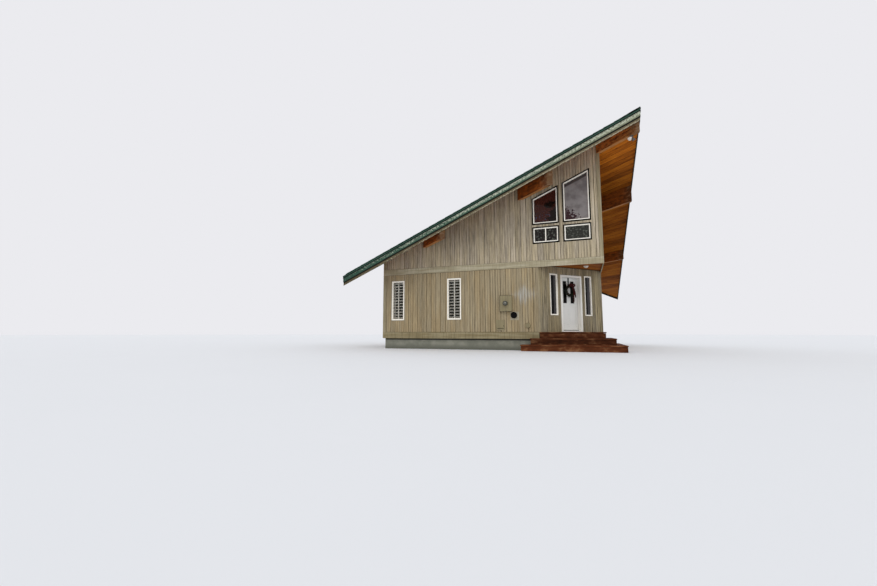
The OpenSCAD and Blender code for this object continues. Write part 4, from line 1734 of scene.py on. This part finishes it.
@dataclass(frozen=True)
class Wreath:
    """Evergreen ring with berries and a red bow, hung on the entry door."""

    centre: np.ndarray
    radius: float
    tube: float
    sprigs: int = 230
    needles: int = 26
    berries: int = 30

    @classmethod
    def from_frame(cls) -> "Wreath":
        """Reads the ring's centre, its radius and the radius of its tube from the frame.

        Returns:
            The wreath.
        """
        low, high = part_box("wreath")
        tube = (high.y - low.y) / 2
        return cls(np.array((low + high) / 2), (high.x - low.x) / 2 - tube, tube)

    def on_ring(self, turn: Reals, tilt: Reals, out: Reals) -> np.ndarray:
        """Gives points round the ring.

        A point is centre + (cos turn, 0, sin turn) * (radius + out * cos tilt) - y * out * sin tilt.

        Args:
            turn: Angles round the ring.
            tilt: Angles round its tube.
            out: Distances from the tube's heart.

        Returns:
            Points with a last axis of three.
        """
        flat = self.radius + out * np.cos(tilt)
        return self.centre + np.stack([flat * np.cos(turn), -out * np.sin(tilt), flat * np.sin(turn)], -1)

    def greenery(self, rng: np.random.Generator) -> None:
        """Builds sprigs of needles.

        Every sprig is a short stem from the ring's heart that leans round it, and needles leave the stem
        at a slant on all sides. A needle is a three-sided spike.

        Args:
            rng: Source of the sprigs' places.
        """
        shape = (self.sprigs, self.needles)
        turn = rng.uniform(0, 2 * np.pi, self.sprigs)
        tilt = rng.uniform(-0.35, np.pi + 0.35, self.sprigs)
        root = self.on_ring(turn, tilt, self.tube * 0.35)
        out = self.tube * rng.uniform(0.72, 0.98, self.sprigs)
        tip = self.on_ring(turn + 0.26, tilt + rng.uniform(-0.3, 0.3, self.sprigs), out)
        share = rng.uniform(0.15, 1.0, shape)
        base = root[:, None] + (tip - root)[:, None] * share[..., None]
        axis = unit(tip - root)[:, None]
        side = unit(np.cross(axis, rng.standard_normal((*shape, 3))))
        way = axis * 0.75 + side * 0.66
        size = rng.uniform(0.020, 0.034, (*shape, 1))
        across = unit(np.cross(way, side))
        over = np.cross(way, across)
        thick = 0.0011
        corner = [base + thick * (math.cos(a) * across + math.sin(a) * over) for a in (0.0, 2.1, 4.2)]
        spikes = np.stack([*corner, base + way * size], 2).reshape(-1, 3)
        index = np.arange(len(spikes)).reshape(-1, 4)
        sides = ([0, 1, 3], [1, 2, 3], [2, 0, 3], [0, 2, 1])
        tone = np.repeat(rng.uniform(0, 1, self.sprigs), self.needles * 4)
        mesh = Mesh().add(spikes, [np.concatenate([index[:, side] for side in sides])], tone=tone)
        twig = 0.0018 * np.array([[1, 0, 0], [-0.5, 0, 0.87], [-0.5, 0, -0.87]])
        mesh.add_rings(np.stack([root, tip], 1)[:, :, None] + twig, tone=0.1)
        around, girth = (np.linspace(0, 2 * np.pi, count, endpoint=False) for count in (48, 14))
        grid = self.on_ring(*np.meshgrid(around, girth, indexing="ij"), self.tube * 0.52)
        mesh.add_rings(grid[None], closed=True, tone=0.05)
        mesh.piece("wreath_greenery", Foliage(), "wreath_green", DOOR, replaces="wreath")

    def fruit(self, rng: np.random.Generator) -> None:
        """Builds clusters of berries as small balls: radius times (sin a cos b, sin a sin b, cos a).

        Args:
            rng: Source of their places.
        """
        turn = np.repeat(rng.uniform(0, 2 * np.pi, 12), 4)[:self.berries] + rng.normal(0, 0.06, self.berries)
        tilt = rng.uniform(0.7, 2.4, self.berries)
        size = rng.uniform(0.006, 0.0095, self.berries)
        a = np.linspace(0.12, np.pi - 0.12, 7)[:, None]
        b = np.linspace(0, 2 * np.pi, 10, endpoint=False)
        ball = np.stack([np.sin(a) * np.cos(b), np.sin(a) * np.sin(b), np.cos(a) * np.ones(10)], -1)
        rings = self.on_ring(turn, tilt, self.tube * 0.86)[:, None, None] + size[:, None, None, None] * ball
        Mesh().add_rings(rings).piece(
            "wreath_berries", PlainMatt("5c1010", "7d1f1a", 0.3), "wreath_green", DOOR, 60)

    def strap(self) -> None:
        """Builds the flat strap that hooks over the top of the door."""
        low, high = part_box("entry_door")
        half, thick, hook = 0.030, 0.0012, 0.028
        front, back, top = low.y - 0.0005, high.y, high.z
        foot = self.centre[2] + self.radius - 0.02
        Mesh().add_rings(PLAN.bars(
            (-half, half, foot, top, front - thick, front),
            (-half, half, top, top + thick, front - thick, back + thick),
            (-half, half, top - hook, top, back, back + thick))).piece(
            "wreath_strap", DarkMetal("161618", "232325", 0.5, 0.1), "hardware", DOOR)

    def bow(self) -> None:
        """Builds the bow from one ribbon.

        The ribbon's middle line is drawn through two loops and two tails, smoothed, and the
        ribbon's width is carried across it.
        """
        knot = self.on_ring(1.3, 1.2, self.tube)
        route = np.array([
            [0.190, 0.030, -0.450], [0.150, 0.006, -0.340], [0.102, -0.014, -0.200],
            [0.046, -0.016, -0.080], [0.004, -0.014, 0.000], [-0.046, -0.020, 0.040],
            [-0.098, -0.022, 0.054], [-0.136, -0.018, 0.020], [-0.104, -0.014, -0.020],
            [-0.044, -0.014, -0.018], [0.000, -0.018, 0.000], [0.042, -0.022, 0.038],
            [0.088, -0.024, 0.046], [0.118, -0.018, 0.008], [0.090, -0.014, -0.030],
            [0.038, -0.016, -0.020], [0.000, -0.018, -0.004], [0.028, -0.018, -0.110],
            [0.066, -0.018, -0.250], [0.056, -0.018, -0.400], [0.082, 0.000, -0.560],
            [0.072, 0.020, -0.640]])
        line = smooth_line(route, 180) + knot
        width, crown, twist = 0.058, 0.012, 0.25
        step = unit(np.gradient(line, axis=0))
        face = np.array([0.0, -1.0, 0.0])
        lean = np.sin(np.linspace(0, 9 * np.pi, len(line)))[:, None] * twist
        across = unit(unit(np.cross(step, face)) + lean * face)
        share = np.linspace(-0.5, 0.5, 7)[:, None]
        grid = line[:, None] + across[:, None] * (share * width) \
            + np.cross(across, step)[:, None] * ((0.25 - share ** 2) * crown)
        index = np.arange(grid[..., 0].size).reshape(grid.shape[:2])
        quads = np.stack([index[:-1, :-1], index[1:, :-1], index[1:, 1:], index[:-1, 1:]], -1).reshape(-1, 4)
        arc = np.concatenate([[0], np.cumsum(np.linalg.norm(np.diff(line, axis=0), axis=1))])
        uv = np.stack(np.broadcast_arrays(arc[:, None], share.T * width), -1).reshape(-1, 2)
        satin = PlainMatt("42110e", "240807", 0.55, 0.06)
        made = Mesh().add(grid.reshape(-1, 3), [quads], uv).piece(
            "wreath_bow", satin, "wreath_green", DOOR, 80)
        profile = [(0.001, -0.026), (0.012, -0.023), (0.018, 0.0), (0.012, 0.023), (0.001, 0.026)]
        Mesh().add_rings(lathe(profile, knot + np.array([0, -0.024, 0.0]), np.array([0, 0, 1.0]), 16)).piece(
            "wreath_knot", satin, "wreath_green", DOOR, 50)

    def build(self) -> None:
        """Builds the sprigs, the berries, the strap and the bow."""
        rng = np.random.default_rng(12)
        self.greenery(rng)
        self.fruit(rng)
        self.strap()
        self.bow()


@dataclass(frozen=True)
class Fixtures:
    """Meter box, vents and lamps."""

    sizes: Sizes
    meter: tuple[float, float] = (3.395, 1.726)
    box_size: tuple[float, float, float] = (0.462, 0.600, 0.110)
    plate: tuple[float, float, float, float] = (3.085, 1.264, 0.160, 0.155)
    vent: tuple[float, float] = (3.113, 1.290)
    hatch: tuple[float, float] = (3.623, 0.931)
    sheet: float = 0.004
    dial_depth: float = 0.016
    ring_offset: float = 0.010
    dome_out: float = 0.195
    cowl_out: float = 0.015
    lamp_drop: float = 0.05

    def boxes(self, face: Face, paint: Finish) -> None:
        """Builds the lids of the meter box and dark bars of painted shadow round it and on its hatch.

        Args:
            face: The wall face.
            paint: The paint of the boxes.
        """
        s, z = self.meter
        w, h, d = self.box_size
        left, right, foot, head = s - w / 2, s + w / 2, z - h / 2, z + h / 2
        inset, front = 0.014, d + self.sheet
        Mesh().add_rings(face.bars(
            (left + inset, right - inset, foot + inset, z + 0.150, d, front),
            (left + inset, right - inset, z + 0.158, head - inset, d, front),
            (s - 0.02, s + 0.02, foot + 0.02, foot + 0.05, front, d + 0.014))).piece(
            "meter_lid", paint, "grey_metal")
        p, q = self.hatch
        top, sill, seam = head - 0.007, foot + 0.006, d + 0.002
        # Painted shadow: dark bars along the lid's edges, and dark lines at the hatch's foot and left side.
        shadow_bars = Mesh().add_rings(face.bars(
            (left, right, top, head, d, seam), (left, right, foot, sill, d, seam),
            (left, left + 0.005, sill, top, d, seam), (right - 0.008, right, sill, top, d, seam),
            (p - 0.13, p + 0.11, q - 0.135, q - 0.115, 0.030, 0.034),
            (p - 0.13, p - 0.115, q - 0.06, q - 0.01, 0.030, 0.034)))
        shadow_bars.piece("box_shadow_bars", DarkMetal("38332a", "2a261f", 0.7), "grey_metal")

    def build(self) -> None:
        """Builds the boxes' lids, the meter's ring and dome and the vent's cowl, and dresses the nodes."""
        face = Side.FRONT_LEFT.face(self.sizes)
        depth = self.box_size[2]
        paint = UtilityPaint(self.sizes.half_diag, depth + self.dial_depth, self.plate)
        self.boxes(face, paint)
        dress(paint, "meter_box", "wall_vents")
        out = np.array([*face.out, 0.0])
        s, z = self.meter[0] + self.ring_offset, self.meter[1]
        ring = [(0.070, 0.0), (0.084, 0.0), (0.084, 0.062), (0.080, 0.066), (0.070, 0.062)]
        hoop = np.swapaxes(lathe(ring, face.at(s, depth + self.sheet, z), out), 1, 2)
        Mesh().add_rings(hoop, closed=True).piece(
            "meter_ring", DarkMetal("4f493b", "6b6553", 0.5), "grey_metal", smooth=30)
        angle = np.linspace(0, np.pi / 2, 9)
        dome = np.stack([0.062 * np.cos(angle), 0.040 * np.sin(angle)], 1)
        Mesh().add_rings(lathe(dome, face.at(s, self.dome_out, z), out)).piece(
            "meter_dome", DarkMetal("6b6a60", "a8a79d", 0.08, 0.6), "grey_metal", smooth=40)
        cowl = [(0.001, 0.0), (0.118, 0.0), (0.118, 0.050), (0.112, 0.056), (0.104, 0.056), (0.100, 0.042),
                (0.001, 0.042)]
        s, z = self.vent
        Mesh().add_rings(lathe(cowl, face.at(s, self.cowl_out, z), out)).piece(
            "vent_cowl", DarkMetal("070707", "141413", 0.7, 0.1), "grey_metal", smooth=30)
        dress(Vinyl("d9d5ca", rough=0.3), "porch_light")
        dress(LampEnamel(edge("floodlight", 1, 2) - self.lamp_drop), "floodlight")


@dataclass(frozen=True)
class Stage:
    """Camera, lamps, floor and sky."""

    place: tuple[float, float, float] = (-10.6476, -15.5864, 0.6283)
    heading: float = 24.582
    pitch: float = 5.966
    lens: float = 15.761
    sensor: float = 36.0
    sky: str = "ebebef"
    sky_tint: tuple[float, float, float, float] = (0.93, 0.96, 1.0, 1.0)
    sky_light: float = 0.92
    sun_tint: tuple[float, float, float] = (1.0, 0.97, 0.93)
    sun_light: float = 0.7
    sun_spread: float = 35
    sun_tilt: float = 42
    sun_turn: float = -38

    def camera(self) -> None:
        """Sets the camera where the photograph was taken."""
        data = bpy.data.cameras.new("camera")
        data.lens = self.lens
        data.sensor_width = self.sensor
        data.clip_end = 500
        made = put("camera", data)
        made.location = self.place
        made.rotation_euler = Euler((math.radians(90 + self.pitch), 0, math.radians(-self.heading)))
        bpy.context.scene.camera = made

    def lights(self) -> None:
        """Lights the cabin with an even sky and one broad soft sun, and shows a plain pale sky."""
        world = bpy.data.worlds.new("sky")
        bpy.context.scene.world = world
        shader = Shader(world)
        rays = shader.node("ShaderNodeLightPath").outputs
        seen = Num(shader, rays["Is Camera Ray"])
        for ray in ("Is Glossy Ray", "Is Transmission Ray"):
            seen = seen.math("MAXIMUM", Num(shader, rays[ray]))
        light = shader.node("ShaderNodeBackground", None, {0: self.sky_tint, 1: self.sky_light})
        shown = shader.node("ShaderNodeBackground", None, {0: self.sky})
        blend = shader.node("ShaderNodeMixShader", None, {0: seen, 1: light.outputs[0], 2: shown.outputs[0]})
        shader.node("ShaderNodeOutputWorld", None, {0: blend.outputs[0]})
        sun = bpy.data.lights.new("sun", "SUN")
        sun.energy = self.sun_light
        sun.angle = math.radians(self.sun_spread)
        sun.color = self.sun_tint
        put("sun", sun).rotation_euler = Euler((math.radians(self.sun_tilt), 0, math.radians(self.sun_turn)))

    def floor(self) -> None:
        """Lays a wide pale floor."""
        size = 150.0
        mesh = bpy.data.meshes.new("floor")
        corners = [(-size, -size, 0), (size, -size, 0), (size, size, 0), (-size, size, 0)]
        mesh.from_pydata(corners, [], [(0, 1, 2, 3)])
        shader = Shader(bpy.data.materials.new("pale_floor"))
        x, y, _ = shader.place()
        tint = shader.mix(shader.noise(x * 0.6, y * 0.6) * 0.25, "e4e4e6", "dcdde0")
        mesh.materials.append(shader.surface(tint, 0.95, 0.1))
        put("floor", mesh)

    def build(self) -> None:
        """Builds the stage."""
        bpy.context.scene.view_settings.view_transform = "Standard"
        self.camera()
        self.lights()
        self.floor()


def main() -> None:
    """Builds every sub-assembly in order."""
    logging.basicConfig(level=logging.INFO, format="%(message)s")
    Stage().build()
    sizes = Sizes()
    windows = Windows(sizes)
    parts = (Siding(sizes, windows), windows, Roof(sizes), Porch(sizes), Entry(sizes), Wreath.from_frame(),
             Fixtures(sizes))
    for part in parts:
        part.build()
    dress(Concrete(edge("foundation", 1, 2)), "foundation")
    dress(PlainMatt("7b5a3a", "65472c"), "ground_floor", "upper_floor")
    dress(WeatheredTrim(), "belly_band")
    dress(WeatheredTrim("86795a", "978c6e"), "base_boards")
    dress(WeatheredTrim("8f8468", "a2977d", upright=True), "corner_boards")


if __name__ == "__main__":
    main()
